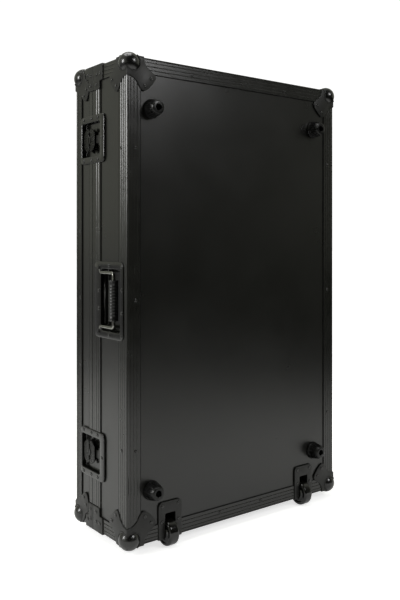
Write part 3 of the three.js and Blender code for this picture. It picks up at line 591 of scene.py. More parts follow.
def add_ball_corner(half, name):
    """Ball, collar, three lobed plates with round folds, and their rivets."""
    angle = math.degrees(math.acos(-(BALL_MIDDLE + PLATE_TOP) / COLLAR_REACH)) - 2
    ring = arc((BALL_MIDDLE, BALL_MIDDLE), COLLAR_REACH, 90 - angle, angle, 24)
    collar = tube(lift(ring, COLLAR_HEIGHT), COLLAR_RADIUS)
    parts = []
    for key, turn in CORNER_FACES.items():
        shape = "base" if key == "big" else half
        plate = skin(raised(corner_outline(shape), -0.4, PLATE_TOP, 0.9))
        parts += [turned(plate, *turn), turned(collar, *turn)]
        for u, v in CORNER_RIVETS[shape]:
            head = turned(moved(rivet(), (u, v, PLATE_TOP)), *turn)
            rivet_parts[half] += at_corner(half, name, [head])
    for axis, reach in enumerate(FOLD_ENDS[half]):
        path = np.zeros((4, 3))
        path[:, axis] = (FOLD_START, FOLD_START + 1, reach - 1, reach - 0.2)
        parts.append(tube(path, (1.6, PLATE_TOP, PLATE_TOP, 1.2), 16, np.roll((0, 0, 1), axis)))
    for kind, shapes, finish in (("corner", parts, PRESSED), ("ball", [ball()], POLISHED)):
        make_piece(
            f"{half}_{kind}_{name}", at_corner(half, name, shapes),
            finish, half, (f"{half}_ball_corner_{name}",),
        )


for corner_name in CORNERS:
    add_ball_corner("base", corner_name)
    add_ball_corner("lid", corner_name)


# Folded braces at the parting line, laid over the ones of the rim frames
BRACES = {"base": (25, 37, 31, -1), "lid": (18.9, 29.9, 22, 1)}
BRACE_START = 0.5
BRACE_HEIGHT = 48
BRACE_LOW = 0.6
BRACE_TOP = 2.1
BRACE_RIVETS = {
    "base": [(11.7, 38), (12.7, 18), (26.7, 18)],
    "lid": [(11.5, 37.5), (11.5, 17), (22.5, 13.5)],
}


def add_braces(half):
    """Two plates and a round fold on each upright edge, with three rivets a plate."""
    flange, foot, foot_height, direction = BRACES[half]
    outline = rounded(
        [(BRACE_START, 0), (foot, 0), (foot, foot_height), (flange, foot_height), (flange, BRACE_HEIGHT),
         (BRACE_START, BRACE_HEIGHT)],
        (0, 0, 3, 3, 3, 0),
    )
    plate, faces = skin(raised(inset(outline, -0.25), BRACE_LOW, BRACE_TOP, 0.7))
    fold, fold_faces = rod(BRACE_START, foot, (1.5, BRACE_TOP), 1)
    parts = []
    for face, ends in SIDES.items():
        for end, inward in zip(ends, (1, -1)):
            laid = np.stack([end + inward * plate[:, 1], direction * plate[:, 0], plate[:, 2]], -1)
            parts += on_face(face, [(laid, faces)])
            places = [(end + inward * along, direction * across) for across, along in BRACE_RIVETS[half]]
            add_rivets(half, face, places, BRACE_TOP)
    for face in ("front", "rear"):
        for end in LONG_SIDE:
            laid = np.stack([fold[:, 1] + end, direction * fold[:, 0], fold[:, 2]], -1)
            parts += on_face(face, [(laid, fold_faces)])
    make_piece(f"{half}_brace_plates", parts, PRESSED, half)


add_braces("base")
add_braces("lid")


# Latches. The far edges are those of a plate and of its well, from the parting line.
CATCH_EDGE = 0.2
CATCH_FAR = (-43.4, -26.5)
LATCH_FAR = (-53.3, -47.5)
LATCH_HALF = 49
LATCH_WELL_HALF = 35
LATCH_RIVET = 42.5
WING_MIDDLE = 21
WING_RADIUS = 25
WING_HALF = 22.3
WING_LOW = -2.2
WING_TOP = -0.4
NOTCH_TIP = 17
NOTCH_HALF = 5
LIP_HALF = 11.2
LIP_INNER = 19.5
LIP_TOP = 1.2


def open_outline(half, far, radius):
    """Outline that is open along the parting line: down one side, round two corners and up the other."""
    return np.concatenate([
        [(-half, -CATCH_EDGE)],
        arc((radius - half, far + radius), radius, 180, 270, 6),
        arc((half - radius, far + radius), radius, 270, 360, 6),
        [(half, -CATCH_EDGE)],
    ])


def latch_dish(far, well_far):
    """Half of a latch plate, with its well open towards the other half."""
    return dish(
        open_outline(LATCH_HALF, far, 10), open_outline(LATCH_WELL_HALF, well_far, 4),
        plate_low=0.05, plate_high=PLATE_TOP, floor=-9.2, wall=SHEET, rim=1.3, fillet=2.0, is_open=True,
    )


def wing_outline():
    """Disc cut straight along two sides, with a notch at each end of its hinge."""
    low, high = (math.degrees(math.asin(v / WING_RADIUS)) for v in (NOTCH_HALF, WING_HALF))
    edge = arc((0, 0), WING_RADIUS, low, high, 8)
    half = np.concatenate([[(NOTCH_TIP, 0)], edge, (edge * (-1, 1))[::-1]])
    return np.concatenate([half, half * (-1, -1)])


def wing_parts():
    """Two leaves on a hinge, a lip on each to lift it by, and a slotted hub."""
    leaves = prism(wing_outline(), WING_LOW, WING_TOP, 0.5)
    edges = [sorted((side * WING_HALF, side * LIP_INNER)) for side in (-1, 1)]
    lips = [brick((-LIP_HALF, LIP_HALF), edge, (WING_LOW, LIP_TOP), 0.7, 0.9) for edge in edges]
    hub = lathe([
        (4.3, -8.6), (4.3, WING_LOW), (7, WING_LOW + 0.1), (7, 0.2), (6.5, 0.7), (5.4, 0.8), (0.05, 0.8),
    ], 28)
    pins = [rod(*sorted((side * 16.4, side * 7.6)), (0.9, 1.4), 0.6, 0.1, 14) for side in (-1, 1)]
    rivets = [moved(rivet(2.6), (side * 11.5, -12.5, WING_TOP)) for side in (-1, 1)]
    return [leaves, *lips, hub, *pins, *rivets]


def add_latch(name):
    """Catch plate with its strike, lid plate, and the wing that turns on it."""
    face, along = LATCHES[name]
    strike = brick((-11, 11), (-16.5, -12.5), (-9.4, -6.3), 0.5, 1.2)
    make_piece(
        f"catch_{name}", on_face(face, [latch_dish(*CATCH_FAR), strike], along),
        GLOSSY, "base", (f"catch_dish_{name}",),
    )
    lid_part = turned(latch_dish(*LATCH_FAR), (0, 1, 2), (1, -1, 1))
    make_piece(
        f"latch_{name}", on_face(face, [lid_part], along),
        GLOSSY, "lid", (f"latch_dish_{name}",),
    )
    slot = brick((-5.6, 5.6), (-0.8, 0.8), (-0.3, 2), 0.1, 0.3)
    make_piece(
        f"wing_{name}", on_face(face, wing_parts(), along, WING_MIDDLE),
        WING, f"wing_{name}", (f"latch_wing_{name}",),
        cutters=on_face(face, [slot], along, WING_MIDDLE),
    )
    add_rivets("base", face, [(along, -35)], PLATE_TOP)
    for u in (along - LATCH_RIVET, along + LATCH_RIVET):
        add_rivets("base", face, [(u, -17.5)], PLATE_TOP)
        add_rivets("lid", face, [(u, 8), (u, 40)], PLATE_TOP)


for latch_name in LATCHES:
    add_latch(latch_name)


# Handles, drawn about the middle of their plate
DISH_HALF = 76
DISH_RISE = 55
PIN_V = 37
GRIP_V = -15
ROD_W = -1
ARM = 54
BEND = 6
EAR_V = (29.4, 43.2)
EAR_W = (-7.2, 0.9)
EAR_WALL = 0.8


def handle_dish_parts():
    """Plate with its well, and a knuckle and an ear at each end for the bail's pins."""
    plate = rounded_rectangle((-DISH_HALF, DISH_HALF), (-DISH_RISE, DISH_RISE), 12, 8)
    well = rounded_rectangle((-62, 62), (-44.25, 30.25), 8, 8)
    parts = [dish(plate, well, PLATE_LOW, PLATE_TOP, floor=-16, wall=SHEET, rim=0.9, fillet=4.0)]
    for side in (-1, 1):
        near, far = sorted((side * 59.3, side * 68.1))
        profile = [(3.9, near), (4.6, near), (5.2, near + 0.6), (5.2, far - 0.6), (4.6, far), (3.9, far)]
        parts.append(moved(turned(lathe(profile, 28, True), (2, 0, 1)), (0, PIN_V, ROD_W)))
        low, high = sorted((side * 48.2, side * 59.8))
        parts += [
            brick((low, high), EAR_V, (EAR_W[0], EAR_W[0] + SHEET), 0.2),
            brick((low, high), (EAR_V[1] - SHEET, EAR_V[1]), EAR_W, 0.2, 0.4),
            brick((low, low + EAR_WALL), EAR_V, EAR_W, 0.2, 0.3),
            brick((high - EAR_WALL, high), EAR_V, EAR_W, 0.2, 0.3),
        ]
    return parts


def bail_part():
    """Bent rod: two pins, two arms and the length that carries the grip."""
    half = np.concatenate([
        [(-66.3, PIN_V), (-65.3, PIN_V)],
        arc((-ARM - BEND, PIN_V - BEND), BEND, 90, 0, 7),
        arc((BEND - ARM, GRIP_V + BEND), BEND, 180, 270, 7),
    ])
    path = np.concatenate([half, (half * (-1, 1))[::-1]])
    radius = np.full(len(path), 3.5)
    radius[[0, -1]] = 2.8
    return tube(lift(path, ROD_W), radius, 18)


def grip_part():
    """Rubber sleeve: a collar at each end and a barrel between them with fine grooves."""
    collar = np.array([(3.8, -40), (8.6, -40), (9.4, -39.6), (9.75, -38.8), (9.75, -38.2), (9.2, -37.4)])
    groove = np.array([(9.45, -0.9), (9.15, -0.35), (9.15, 0.35), (9.45, 0.9)])
    barrel = [groove + (0, place) for place in np.linspace(-30, 30, 11)]
    profile = np.concatenate([collar, *barrel, (collar * (1, -1))[::-1]])
    return moved(turned(lathe(profile, 36, True), (2, 0, 1)), (0, GRIP_V, ROD_W))


def add_handle(name):
    """Dish with its two ears hollowed out, bail and grip."""
    face, along = HANDLES[name]
    hollows = [
        brick(sorted((side * 49, side * 59)), (27, EAR_V[1] - SHEET), (EAR_W[0] + SHEET, 5), 0.3, 1.5)
        for side in (-1, 1)
    ]
    make_piece(
        f"{name}_dish", on_face(face, handle_dish_parts(), along, HANDLE_MIDDLE),
        GLOSSY, "base", (f"{name}_handle_dish",),
        cutters=on_face(face, hollows, along, HANDLE_MIDDLE),
    )
    body = f"{name}_handle"
    make_piece(
        f"{name}_bail", on_face(face, [bail_part()], along, HANDLE_MIDDLE),
        BAIL, body, (f"{name}_handle_bail",),
    )
    make_piece(
        f"{name}_grip", on_face(face, [grip_part()], along, HANDLE_MIDDLE),
        GRIP, body, (f"{name}_handle_grip",),
    )
    for u, v in ((67, -49.6), (22, -49.6), (69, -2), (18, 38)):
        add_rivets("base", face, [(along + side * u, HANDLE_MIDDLE + v) for side in (-1, 1)], PLATE_TOP)


for handle_name in HANDLES:
    add_handle(handle_name)


# Feet
FEET = {"near_low": (-229, 100.5), "far_low": (219, 100.5), "near_high": (-229, 843), "far_high": (219, 843)}
FOOT_SEAT = (0, 0, -1.4)
FLUTES = 22
FLUTE_DEPTH = 1.3
FOOT_FLANK = [
    (18.4, 0), (19, 0.5), (19, 2.2), (18.5, 3.4), (18.0, 5.5), (17.4, 9), (16.8, 12.5), (16.2, 16),
    (15.3, 19.5), (14.2, 22.5), (13.5, 24.2), (13.0, 25.6), (12.3, 26.6), (11.3, 27),
]
FOOT_HOLE = [(7.2, 27), (6.3, 26.3), (6.3, 7.2), (0.05, 7)]


def foot_part():
    """Tapered rubber foot with a screw hole.

    Its flank is fluted: the radius is less by FLUTE_DEPTH * (1 - cos(FLUTES * angle)) / 2, and the flutes
    fade out towards the rims as a sine of the height.
    """
    profile = np.array(FOOT_FLANK + FOOT_HOLE)
    turn = np.linspace(0, 2 * math.pi, FLUTES * 6, endpoint=False)
    share = np.clip((profile[:, 1] - 3) / 20, 0, 1)
    share[len(FOOT_FLANK):] = 0
    fade = np.sin(math.pi * share)
    radius = profile[:, :1] - FLUTE_DEPTH * fade[:, None] * (1 - np.cos(FLUTES * turn)) / 2
    height = np.repeat(profile[:, 1:], len(turn), 1)
    return moved(skin(np.stack([radius * np.cos(turn), radius * np.sin(turn), height], -1)), FOOT_SEAT)


for foot_name, (foot_x, foot_z) in FEET.items():
    make_piece(
        f"rubber_foot_{foot_name}", on_face("underside", [foot_part()], foot_x, foot_z),
        RUBBER, "base", (f"foot_{foot_name}",),
    )
    screw = lathe([(5.2, 7.3), (5.2, 8.2), (4.3, 9.3), (2.4, 9.9), (0.05, 10)], 20)
    make_piece(
        f"foot_screw_{foot_name}", on_face("underside", [moved(screw, FOOT_SEAT)], foot_x, foot_z),
        PLATED, "base",
    )


# Wheels and their housings
HOUSING_HALF = 27.8
HOUSING_RISE = 72
HOUSING_END_RISE = 52
SLOT_HALF = 12.3
SLOT_TOP = 48.6
SLOT_DEPTH = 37
POCKET_BEND = 20
POCKET_LIP = 0.8
WHEEL_RADIUS = 26
WHEEL_SHOULDER = 5
WHEEL_INSET = 6.7
WHEEL_RISE = 8


def slotted_flange(rise, slot):
    """Flange with a slot from its lower edge, round at its upper corners."""
    outline = rounded(
        [(-HOUSING_HALF, 0), (-SLOT_HALF, 0), (-SLOT_HALF, slot), (SLOT_HALF, slot), (SLOT_HALF, 0),
         (HOUSING_HALF, 0), (HOUSING_HALF, rise), (-HOUSING_HALF, rise)],
        (0, 0, 3, 3, 0, 0, 9, 9), 6,
    )
    return skin(raised(outline, PLATE_LOW, PLATE_TOP, 0.8))


def pocket_back(grown):
    """Curved line of the pocket's back, grown outwards. v is height, w the depth into the case."""
    return np.concatenate([
        [(-POCKET_LIP, -SLOT_DEPTH - grown)],
        arc((SLOT_TOP - POCKET_BEND, POCKET_BEND - SLOT_DEPTH), POCKET_BEND + grown, -90, 0, 10),
        [(SLOT_TOP + grown, POCKET_LIP)],
    ])


def pocket_parts():
    """Pocket round the wheel: a curved back and two cheeks."""
    outer = pocket_back(SHEET)
    band = np.concatenate([pocket_back(0), outer[::-1]])
    cheek = np.concatenate([outer, [(-POCKET_LIP, POCKET_LIP)]])
    return [
        strip(band, -SLOT_HALF, SLOT_HALF),
        strip(cheek, -SLOT_HALF - SHEET, -SLOT_HALF),
        strip(cheek, SLOT_HALF, SLOT_HALF + SHEET),
    ]


def wheel_part():
    """Solid rubber wheel with round shoulders and a recessed hub."""
    hub = [
        (4.3, -11.5), (10.4, -11.5), (11, -11.2), (13.4, -8.9), (14.6, -8.5), (18.2, -8.6), (19.4, -9.4),
        (20, -11.2),
    ]
    shoulder = arc((WHEEL_RADIUS - WHEEL_SHOULDER, -6.5), WHEEL_SHOULDER, -90, 0, 10)[1:]
    left = np.concatenate([hub, shoulder, [(WHEEL_RADIUS, -2)]])
    return turned(lathe(np.concatenate([left, (left * (1, -1))[::-1]]), 56, True), (2, 0, 1))


def add_wheel(name):
    """Housing with its two flanges and fold, and the wheel in it."""
    x = WHEELS[name]
    folds = [
        rod(low, high, (1.5, PLATE_TOP), 0.6)
        for low, high in ((-HOUSING_HALF, -SLOT_HALF), (SLOT_HALF, HOUSING_HALF))
    ]
    parts = on_face("underside", [slotted_flange(HOUSING_RISE, SLOT_TOP), *pocket_parts(), *folds], x)
    parts += on_face("wheel_end", [slotted_flange(HOUSING_END_RISE, SLOT_DEPTH)], x, -BASE_DEPTH)
    make_piece(f"wheel_pocket_{name}", parts, PRESSED, "base", (f"wheel_housing_{name}",))
    wheel = moved(wheel_part(), (0, WHEEL_RISE, -WHEEL_INSET))
    make_piece(
        f"rubber_wheel_{name}", on_face("underside", [wheel], x),
        TYRE, f"wheel_{name}", (f"wheel_{name}",),
    )
    for reach, rise, end_rise in ((19, 64, 44), (20, 33, 16)):
        for u in (x - reach, x + reach):
            add_rivets("base", "underside", [(u, rise)], PLATE_TOP)
            add_rivets("base", "wheel_end", [(u, end_rise - BASE_DEPTH)], PLATE_TOP)


for wheel_name in WHEELS:
    add_wheel(wheel_name)


# Ridges along the extrusions, over the small ones of the frame, and their noses
RIDGES = (8.3, 15.6, 22.9)
BASE_RIM_RIDGES = (-10.3, -18.7)
LID_RIM_RIDGE = 7.2
GABLE = [(-1.8, -0.6), (1.8, -0.6), (1.8, -0.15), (0.12, 0.56), (-0.12, 0.56), (-1.8, -0.15)]
LOW_GABLE = [(-1.3, -0.6), (1.3, -0.6), (1.3, -0.02), (0.12, 0.54), (-0.12, 0.54), (-1.3, -0.02)]
ROUND = arc((0, -0.3), 1.05, 0, 330, 11)
MITRE_GAP = 0.5
POST_START = 31
BASE_POST = (EDGE_FLANGE + MITRE_GAP - BASE_DEPTH, -26)
LID_POST = (20, LID_DEPTH - (LID_FLANGE + MITRE_GAP))
EAR_GAPS = [(-60, -48), (48, 60)]
NOSE_INSET = 2.2
NOSE_START = 20
NOSE = arc((0, 0), 2.7, 0, 315, 7)
RIDGE_SHARP = 20
SHORTEST_RIDGE = 1


def ridge(along, fixed, low, high, profile=ROUND, height=0.0):
    """Strip of one profile from low to high along u or v, at a fixed place on the other."""
    part = strip(np.add(profile, (fixed, height)), low, high)
    return turned(part, (1, 0, 2)) if along == "v" else part


def spans(low, high, gaps):
    """The stretches from low to high that are left between gaps, each a (low, high) pair in order."""
    edges = [low, *(edge for gap in gaps for edge in gap), high]
    return [(a, b) for a, b in zip(edges[::2], edges[1::2]) if b - a > SHORTEST_RIDGE]


def latch_gaps(face):
    """Stretches of one face under its latch plates."""
    return [(along - LATCH_HALF, along + LATCH_HALF) for there, along in LATCHES.values() if there == face]


def handle_gaps(face):
    """Stretches of one face under its handle."""
    return [(along - DISH_HALF, along + DISH_HALF) for there, along in HANDLES.values() if there == face]


def wheel_gaps(face, overlap=0):
    """Stretches of one face under the wheel housings, less an overlap at both ends."""
    places = WHEELS.values() if face in ("wheel_end", "underside") else []
    return [(x - HOUSING_HALF + overlap, x + HOUSING_HALF - overlap) for x in places]


def rim_gaps(face):
    """Stretches of the base's rim under its latches and its handle."""
    return sorted(latch_gaps(face) + handle_gaps(face))


def ridge_row(fixed, low, high, gaps=(), profile=ROUND, height=0.0):
    """Ridges along u from low to high, broken by gaps."""
    return [ridge("u", fixed, *span, profile, height) for span in spans(low, high, gaps)]


def nose(face, v, gaps):
    """Round nose of the edge extrusion along one side."""
    start, end = SIDES[face]
    return ridge_row(v, start + NOSE_START, end - NOSE_START, gaps, NOSE, -NOSE_INSET)


def base_side_ridges(face):
    """Ridges on one side of the base: the edge extrusion's with its nose, the corner posts' and the rim's."""
    start, end = SIDES[face]
    wheels = wheel_gaps(face, 1)
    parts = nose(face, NOSE_INSET - BASE_DEPTH, wheels)
    for inset_by in RIDGES:
        v = inset_by - BASE_DEPTH
        handles = handle_gaps(face) if v > HANDLE_MIDDLE - DISH_RISE else []
        low, high = start + inset_by, end - inset_by
        parts += ridge_row(v, low + MITRE_GAP, high - MITRE_GAP, wheels + handles, GABLE)
        parts += [ridge("v", u, *BASE_POST, LOW_GABLE) for u in (low, high)]
    for v in BASE_RIM_RIDGES:
        gaps = rim_gaps(face)
        if face == "top":
            gaps = EAR_GAPS if v == min(BASE_RIM_RIDGES) else []
        parts += ridge_row(v, start + POST_START, end - POST_START, gaps, LOW_GABLE)
    return parts


def lid_side_ridges(face):
    """The same on one side of the lid."""
    start, end = SIDES[face]
    parts = nose(face, LID_DEPTH - NOSE_INSET, [])
    for inset_by in RIDGES:
        low, high = start + inset_by, end - inset_by
        parts += ridge_row(LID_DEPTH - inset_by, low + MITRE_GAP, high - MITRE_GAP)
        parts += [ridge("v", u, *LID_POST) for u in (low, high)]
    return parts + ridge_row(LID_RIM_RIDGE, start + POST_START, end - POST_START, latch_gaps(face))


def big_face_ridges(face):
    """Ridges round the underside or the lid's big face."""
    parts = []
    for inset_by in RIDGES:
        near = inset_by + MITRE_GAP
        across = (near - HALF_WIDTH, HALF_WIDTH - near)
        parts += ridge_row(inset_by, *across, wheel_gaps(face, 1))
        parts += ridge_row(SHELL_HEIGHT - inset_by, *across)
        for side in (-1, 1):
            parts.append(ridge("v", side * (HALF_WIDTH - inset_by), near, SHELL_HEIGHT - near))
    return parts


def add_ridges(half, big_face, side_ridges):
    """One piece with all ridges of a half."""
    parts = on_face(big_face, big_face_ridges(big_face))
    for face in SIDES:
        parts += on_face(face, side_ridges(face))
    make_piece(f"{half}_ridges", parts, ANODISED, half, sharp=RIDGE_SHARP)


def add_latch_lips():
    """Folded lips along the far edge of each catch plate and beside the well of each lid plate."""
    for half, v, reach, scale in (("base", -42.6, 38, 0.45), ("lid", 49.2, 34, 1.2)):
        lip = ridge("u", v, -reach, reach, np.multiply(GABLE, scale), PLATE_TOP)
        parts = [part for face, along in LATCHES.values() for part in on_face(face, [lip], along)]
        make_piece(f"{half}_latch_lips", parts, GLOSSY, half, sharp=RIDGE_SHARP)


add_ridges("base", "underside", base_side_ridges)
add_ridges("lid", "lid", lid_side_ridges)
add_latch_lips()


# Painted shade: dark strips in the step between each flange and its panel, standing for the shadow that falls
# there
SHADE_STRIP_WIDTH = 1.3
SHADE_STRIP_UNDER = 0.1
SHADE_STRIP_LOW = -1.8
SHADE_STRIP_TOP = -0.05


def shade_strip(along, edge, side, low, high):
    """Dark strip of painted shade from low to high along u or v, filling the step beside a flange's edge
    where its shadow falls.
    """
    across = sorted((edge - side * SHADE_STRIP_UNDER, edge + side * SHADE_STRIP_WIDTH))
    ranges = ((low, high), across) if along == "u" else (across, (low, high))
    return brick(*ranges, (SHADE_STRIP_LOW, SHADE_STRIP_TOP), 0.2, 0.3)


def panel_shade_strips(face, u_range, v_range, low_gaps, high_gaps):
    """Strips of painted shade round the inside of a panel's edges, broken by gaps along the lower and the
    upper one.
    """
    parts = [shade_strip("u", v_range[0], 1, *span) for span in spans(*u_range, low_gaps)]
    parts += [shade_strip("u", v_range[1], -1, *span) for span in spans(*u_range, high_gaps)]
    parts += [shade_strip("v", u, side, *v_range) for u, side in zip(u_range, (1, -1))]
    return on_face(face, parts)


def add_shade_strips():
    """Strips of painted shade round each panel: beside the edge extrusion, the rim and the corner posts."""
    shade_strips = {}
    for half, face, flange in (("base", "underside", EDGE_FLANGE), ("lid", "lid", LID_FLANGE)):
        u_range, v_range = (flange - HALF_WIDTH, HALF_WIDTH - flange), (flange, SHELL_HEIGHT - flange)
        shade_strips[half] = panel_shade_strips(face, u_range, v_range, wheel_gaps(face), [])
    base_range, lid_range = (EDGE_FLANGE - BASE_DEPTH, BASE_RIM), (LID_RIM, LID_DEPTH - LID_FLANGE)
    for face, (start, end) in SIDES.items():
        u_range = (start + EDGE_FLANGE, end - EDGE_FLANGE)
        edge_gaps = wheel_gaps(face) + handle_gaps(face)
        shade_strips["base"] += panel_shade_strips(face, u_range, base_range, edge_gaps, rim_gaps(face))
        shade_strips["lid"] += panel_shade_strips(face, u_range, lid_range, latch_gaps(face), latch_gaps(face))
    # Each half's strips of painted shade, as one piece
    for half, parts in shade_strips.items():
        make_piece(f"{half}_seams", parts, PAINTED_SHADE, half)


add_shade_strips()


# Rivets through the extrusions: a body, a face, and places along its u and its v
EDGE_V = 19.4 - BASE_DEPTH
LID_V = LID_DEPTH - 19
EXTRUSION_RIVETS = [
    ("base", "front", (182, 765), (EDGE_V,)),
    ("base", "rear", (182, 325, 472, 618, 765), (EDGE_V,)),
    ("base", "wheel_end", (-58, 56), (EDGE_V,)),
    ("base", "top", (-140, 140), (EDGE_V,)),
    ("base", "underside", (-266, 266), (182, 472, 765)),
    ("base", "underside", (-130, 0, 127), (SHELL_HEIGHT - 19.5,)),
    ("base", "underside", (-58, 56), (20,)),
    ("lid", "front", (328, 468, 607), (LID_V,)),
    ("lid", "rear", (328, 468, 607), (LID_V,)),
    ("lid", "wheel_end", (-140, 0, 140), (LID_V,)),
    ("lid", "top", (-140, 0, 140), (LID_V,)),
    ("lid", "lid", (-266, 266), (182, 328, 472, 616, 765)),
    ("lid", "lid", (-130, 0, 130), (19, SHELL_HEIGHT - 19)),
]
for rivet_body, rivet_face, places_u, places_v in EXTRUSION_RIVETS:
    add_rivets(rivet_body, rivet_face, [(u, v) for u in places_u for v in places_v])
for rivet_body, parts_there in rivet_parts.items():
    make_piece(f"{rivet_body}_rivets", parts_there, RIVET, rivet_body, sharp=60)


# Foam
FOAM_X = 272
FOAM_LOW_Y = -80.8
FOAM_TRAY_Y = -66.2
FOAM_TOP_Y = 11.8
FOAM_LOW_Z = 68.9
FOAM_HIGH_Z = 927
FOAM_GAP = 0.2
INNER_X = 260.3
INNER_Z = 915.5
OPENING_HALF = 68.4
HOLLOW_HALF = 63.7
HOLLOW_LOW_Y = -72.9
HOLLOW_HIGH_Y = -60
HANDLE_Z = HANDLES["front"][1]
WHEEL_BLOCK_Z = 13
WHEEL_ROOM = (16.4, -54.6, 50.4)
LID_SLAB = ((-260.4, 81.7, 24.6), (260.4, 99.1, 915.4))


def block_part(low, high, rim=2.0):
    """Block of foam with soft edges, between two corners. z starts at the shell's lower end."""
    points, faces = brick(*zip(low, high), rim, rim)
    return points * MM + (0, 0, BOTTOM), faces


def wall_part(x_low, x_high, z_low, z_high):
    """Wall of the foam tray between two places along x and two along z."""
    return block_part((x_low, FOAM_TRAY_Y + FOAM_GAP, z_low), (x_high, FOAM_TOP_Y, z_high))


tray = make_piece(
    "foam_tray",
    [
        block_part((-FOAM_X, FOAM_LOW_Y, FOAM_LOW_Z), (FOAM_X, FOAM_TRAY_Y, FOAM_HIGH_Z), 1.5),
        wall_part(INNER_X, FOAM_X, FOAM_LOW_Z, FOAM_HIGH_Z),
        wall_part(-FOAM_X, -INNER_X, FOAM_LOW_Z, HANDLE_Z - OPENING_HALF),
        wall_part(-FOAM_X, -INNER_X, HANDLE_Z + OPENING_HALF, FOAM_HIGH_Z),
        wall_part(FOAM_GAP - INNER_X, -OPENING_HALF, INNER_Z, FOAM_HIGH_Z),
        wall_part(OPENING_HALF, INNER_X - FOAM_GAP, INNER_Z, FOAM_HIGH_Z),
    ],
    FOAM, "base", ("base_foam",),
    cutters=[
        block_part(
            (-FOAM_X - 5, HOLLOW_LOW_Y, HANDLE_Z - HOLLOW_HALF),
            (-267.3, HOLLOW_HIGH_Y, HANDLE_Z + HOLLOW_HALF), 1,
        ),
        block_part((-HOLLOW_HALF, HOLLOW_LOW_Y, 922.3), (HOLLOW_HALF, HOLLOW_HIGH_Y, FOAM_HIGH_Z + 5), 1),
    ],
)
wheel_block = make_piece(
    "foam_wheel_block",
    [block_part((-FOAM_X, FOAM_LOW_Y, WHEEL_BLOCK_Z), (FOAM_X, FOAM_TOP_Y, FOAM_LOW_Z - 0.3))],
    FOAM, "base", ("base_foam",),
    cutters=[
        block_part((x - WHEEL_ROOM[0], -100, 1), (x + WHEEL_ROOM[0], *WHEEL_ROOM[1:]), 1)
        for x in WHEELS.values()
    ],
)
lid_slab = make_piece(
    "foam_lid_slab",
    [block_part(*LID_SLAB, 2.5)],
    FOAM, "lid", ("lid_foam",),
)


# Studio. Places and directions are in metres, and glows are strengths at which 1 is white.
FLOOR_SIZE = 60.0
PAPER_MIDDLE = (-0.15, 0.2, 0.0)
PAPER_REACH = 1.0
PAPER_END = 2.3
PAPER_WHITE = 0.85
FLOOR_DARK = 0.06
CAMERA_GLOW = 0.7
CAMERA_GLOW_FAR = 1.2
MIRRORED_GLOW = 0.34
BACK_GLOW = 0.22
BACK_START = 1.0
BACK_END = 2.4
LEFT_BACK = (-0.6, 0.8, 0.0)
DARK_SIDE = (-0.05, -1.0, 0.5)
WORLD_DARK = (0.04, 0.04, 0.037)
WORLD_LIT = (0.54, 0.55, 0.47)
WORLD_WHITE = 1.1
LIT_UNTIL = 0.5
DARK_FROM = 0.84
# Each lamp has its place, what it faces, its two sizes in metres and its power in watts
LAMPS = {
    "left_softbox": ((-3.0, 0.4, 1.5), (-0.28, 0, 0.75), (0.7, 1.2), 46),
    "top_softbox": ((-0.4, 0.2, 3.0), (0, 0, 0.5), (1.6, 1.6), 38),
    "right_softbox": ((0.85, -2.3, 1.95), (0, 0, 0.7), (0.8, 0.8), 24),
}


def measured(tree, operation, vector, fixed):
    """The distance or the dot product of a vector and a fixed one."""
    node = tree.nodes.new("ShaderNodeVectorMath")
    node.operation = operation
    tree.links.new(vector, node.inputs[0])
    node.inputs[1].default_value = fixed
    return node.outputs["Value"]


def worked_out(tree, operation, *values):
    """The result of one operation on values."""
    node = tree.nodes.new("ShaderNodeMath")
    node.operation = operation
    for value, socket in zip(values, node.inputs):
        tree.links.new(value, socket)
    return node.outputs["Value"]


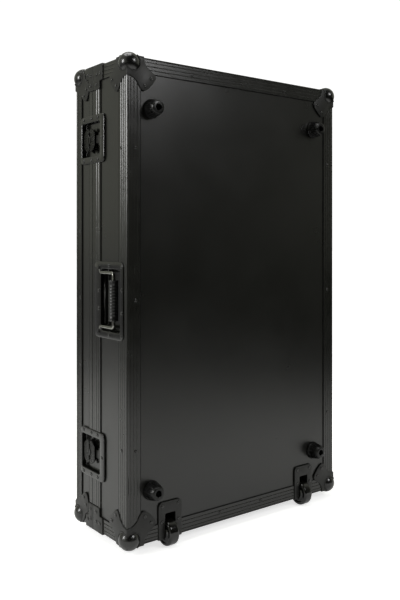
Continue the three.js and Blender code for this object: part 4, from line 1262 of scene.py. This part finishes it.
def make_floor():
    """White paper under the case on a darker floor. The camera sees all of it as white.

    Reflections see a weaker glow, which comes from the paper and from the floor behind on the left.
    """
    mesh = bpy.data.meshes.new("floor")
    corners = [(-1, -1, 0), (1, -1, 0), (1, 1, 0), (-1, 1, 0)]
    mesh.from_pydata((np.array(corners) * FLOOR_SIZE / 2).tolist(), [], [(0, 1, 2, 3)])
    floor = bpy.data.objects.new("floor", mesh)
    bpy.context.scene.collection.objects.link(floor)
    material, tree, shader, coordinates = new_material("studio_floor")
    reach = measured(tree, "DISTANCE", coordinates, PAPER_MIDDLE)
    behind = measured(tree, "DOT_PRODUCT", coordinates, LEFT_BACK)
    paper = (tree, reach, PAPER_REACH, PAPER_END)
    tree.links.new(faded(*paper, PAPER_WHITE, FLOOR_DARK), shader.inputs["Base Color"])
    shader.inputs["Roughness"].default_value = 0.9
    shader.inputs["Specular IOR Level"].default_value = 0
    rays = tree.nodes.new("ShaderNodeLightPath").outputs
    back_glow = faded(tree, behind, BACK_START, BACK_END, 0, BACK_GLOW)
    both_glows = worked_out(tree, "ADD", faded(*paper, MIRRORED_GLOW, 0), back_glow)
    mirrored = worked_out(tree, "MULTIPLY", both_glows, rays["Is Glossy Ray"])
    camera_glow = faded(*paper, CAMERA_GLOW, CAMERA_GLOW_FAR)
    strength = worked_out(tree, "MULTIPLY_ADD", camera_glow, rays["Is Camera Ray"], mirrored)
    glow = tree.nodes.new("ShaderNodeEmission")
    tree.links.new(strength, glow.inputs["Strength"])
    total = tree.nodes.new("ShaderNodeAddShader")
    tree.links.new(shader.outputs["BSDF"], total.inputs[0])
    tree.links.new(glow.outputs["Emission"], total.inputs[1])
    tree.links.new(total.outputs["Shader"], tree.nodes["Material Output"].inputs["Surface"])
    mesh.materials.append(material)


def make_world():
    """White to the camera. For light and reflections, dark in front of the feet and paler all round."""
    world = bpy.data.worlds.new("studio")
    bpy.context.scene.world = world
    world.use_nodes = True
    tree = world.node_tree
    around = tree.nodes["Background"]
    direction = tree.nodes.new("ShaderNodeTexCoord").outputs["Generated"]
    facing = measured(tree, "DOT_PRODUCT", direction, DARK_SIDE)
    share = faded(tree, facing, LIT_UNTIL, DARK_FROM, 1, 0)
    tree.links.new(shade(tree, share, WORLD_DARK, WORLD_LIT), around.inputs["Color"])
    white = tree.nodes.new("ShaderNodeBackground")
    white.inputs["Color"].default_value = (1, 1, 1, 1)
    white.inputs["Strength"].default_value = WORLD_WHITE
    choice = tree.nodes.new("ShaderNodeMixShader")
    tree.links.new(tree.nodes.new("ShaderNodeLightPath").outputs["Is Camera Ray"], choice.inputs["Fac"])
    tree.links.new(around.outputs["Background"], choice.inputs[1])
    tree.links.new(white.outputs["Background"], choice.inputs[2])
    tree.links.new(choice.outputs["Shader"], tree.nodes["World Output"].inputs["Surface"])


def make_lamp(name, place, target, size, power):
    """Rectangular soft lamp at a place, facing a target."""
    data = bpy.data.lights.new(name, "AREA")
    data.shape = "RECTANGLE"
    data.size, data.size_y = size
    data.energy = power
    lamp = bpy.data.objects.new(name, data)
    lamp.location = place
    lamp.rotation_mode = "QUATERNION"
    lamp.rotation_quaternion = (Vector(target) - Vector(place)).to_track_quat("-Z", "Y")
    bpy.context.scene.collection.objects.link(lamp)


make_floor()
make_world()
for lamp_name, settings in LAMPS.items():
    make_lamp(lamp_name, *settings)

bpy.context.scene.view_settings.view_transform = "Standard"
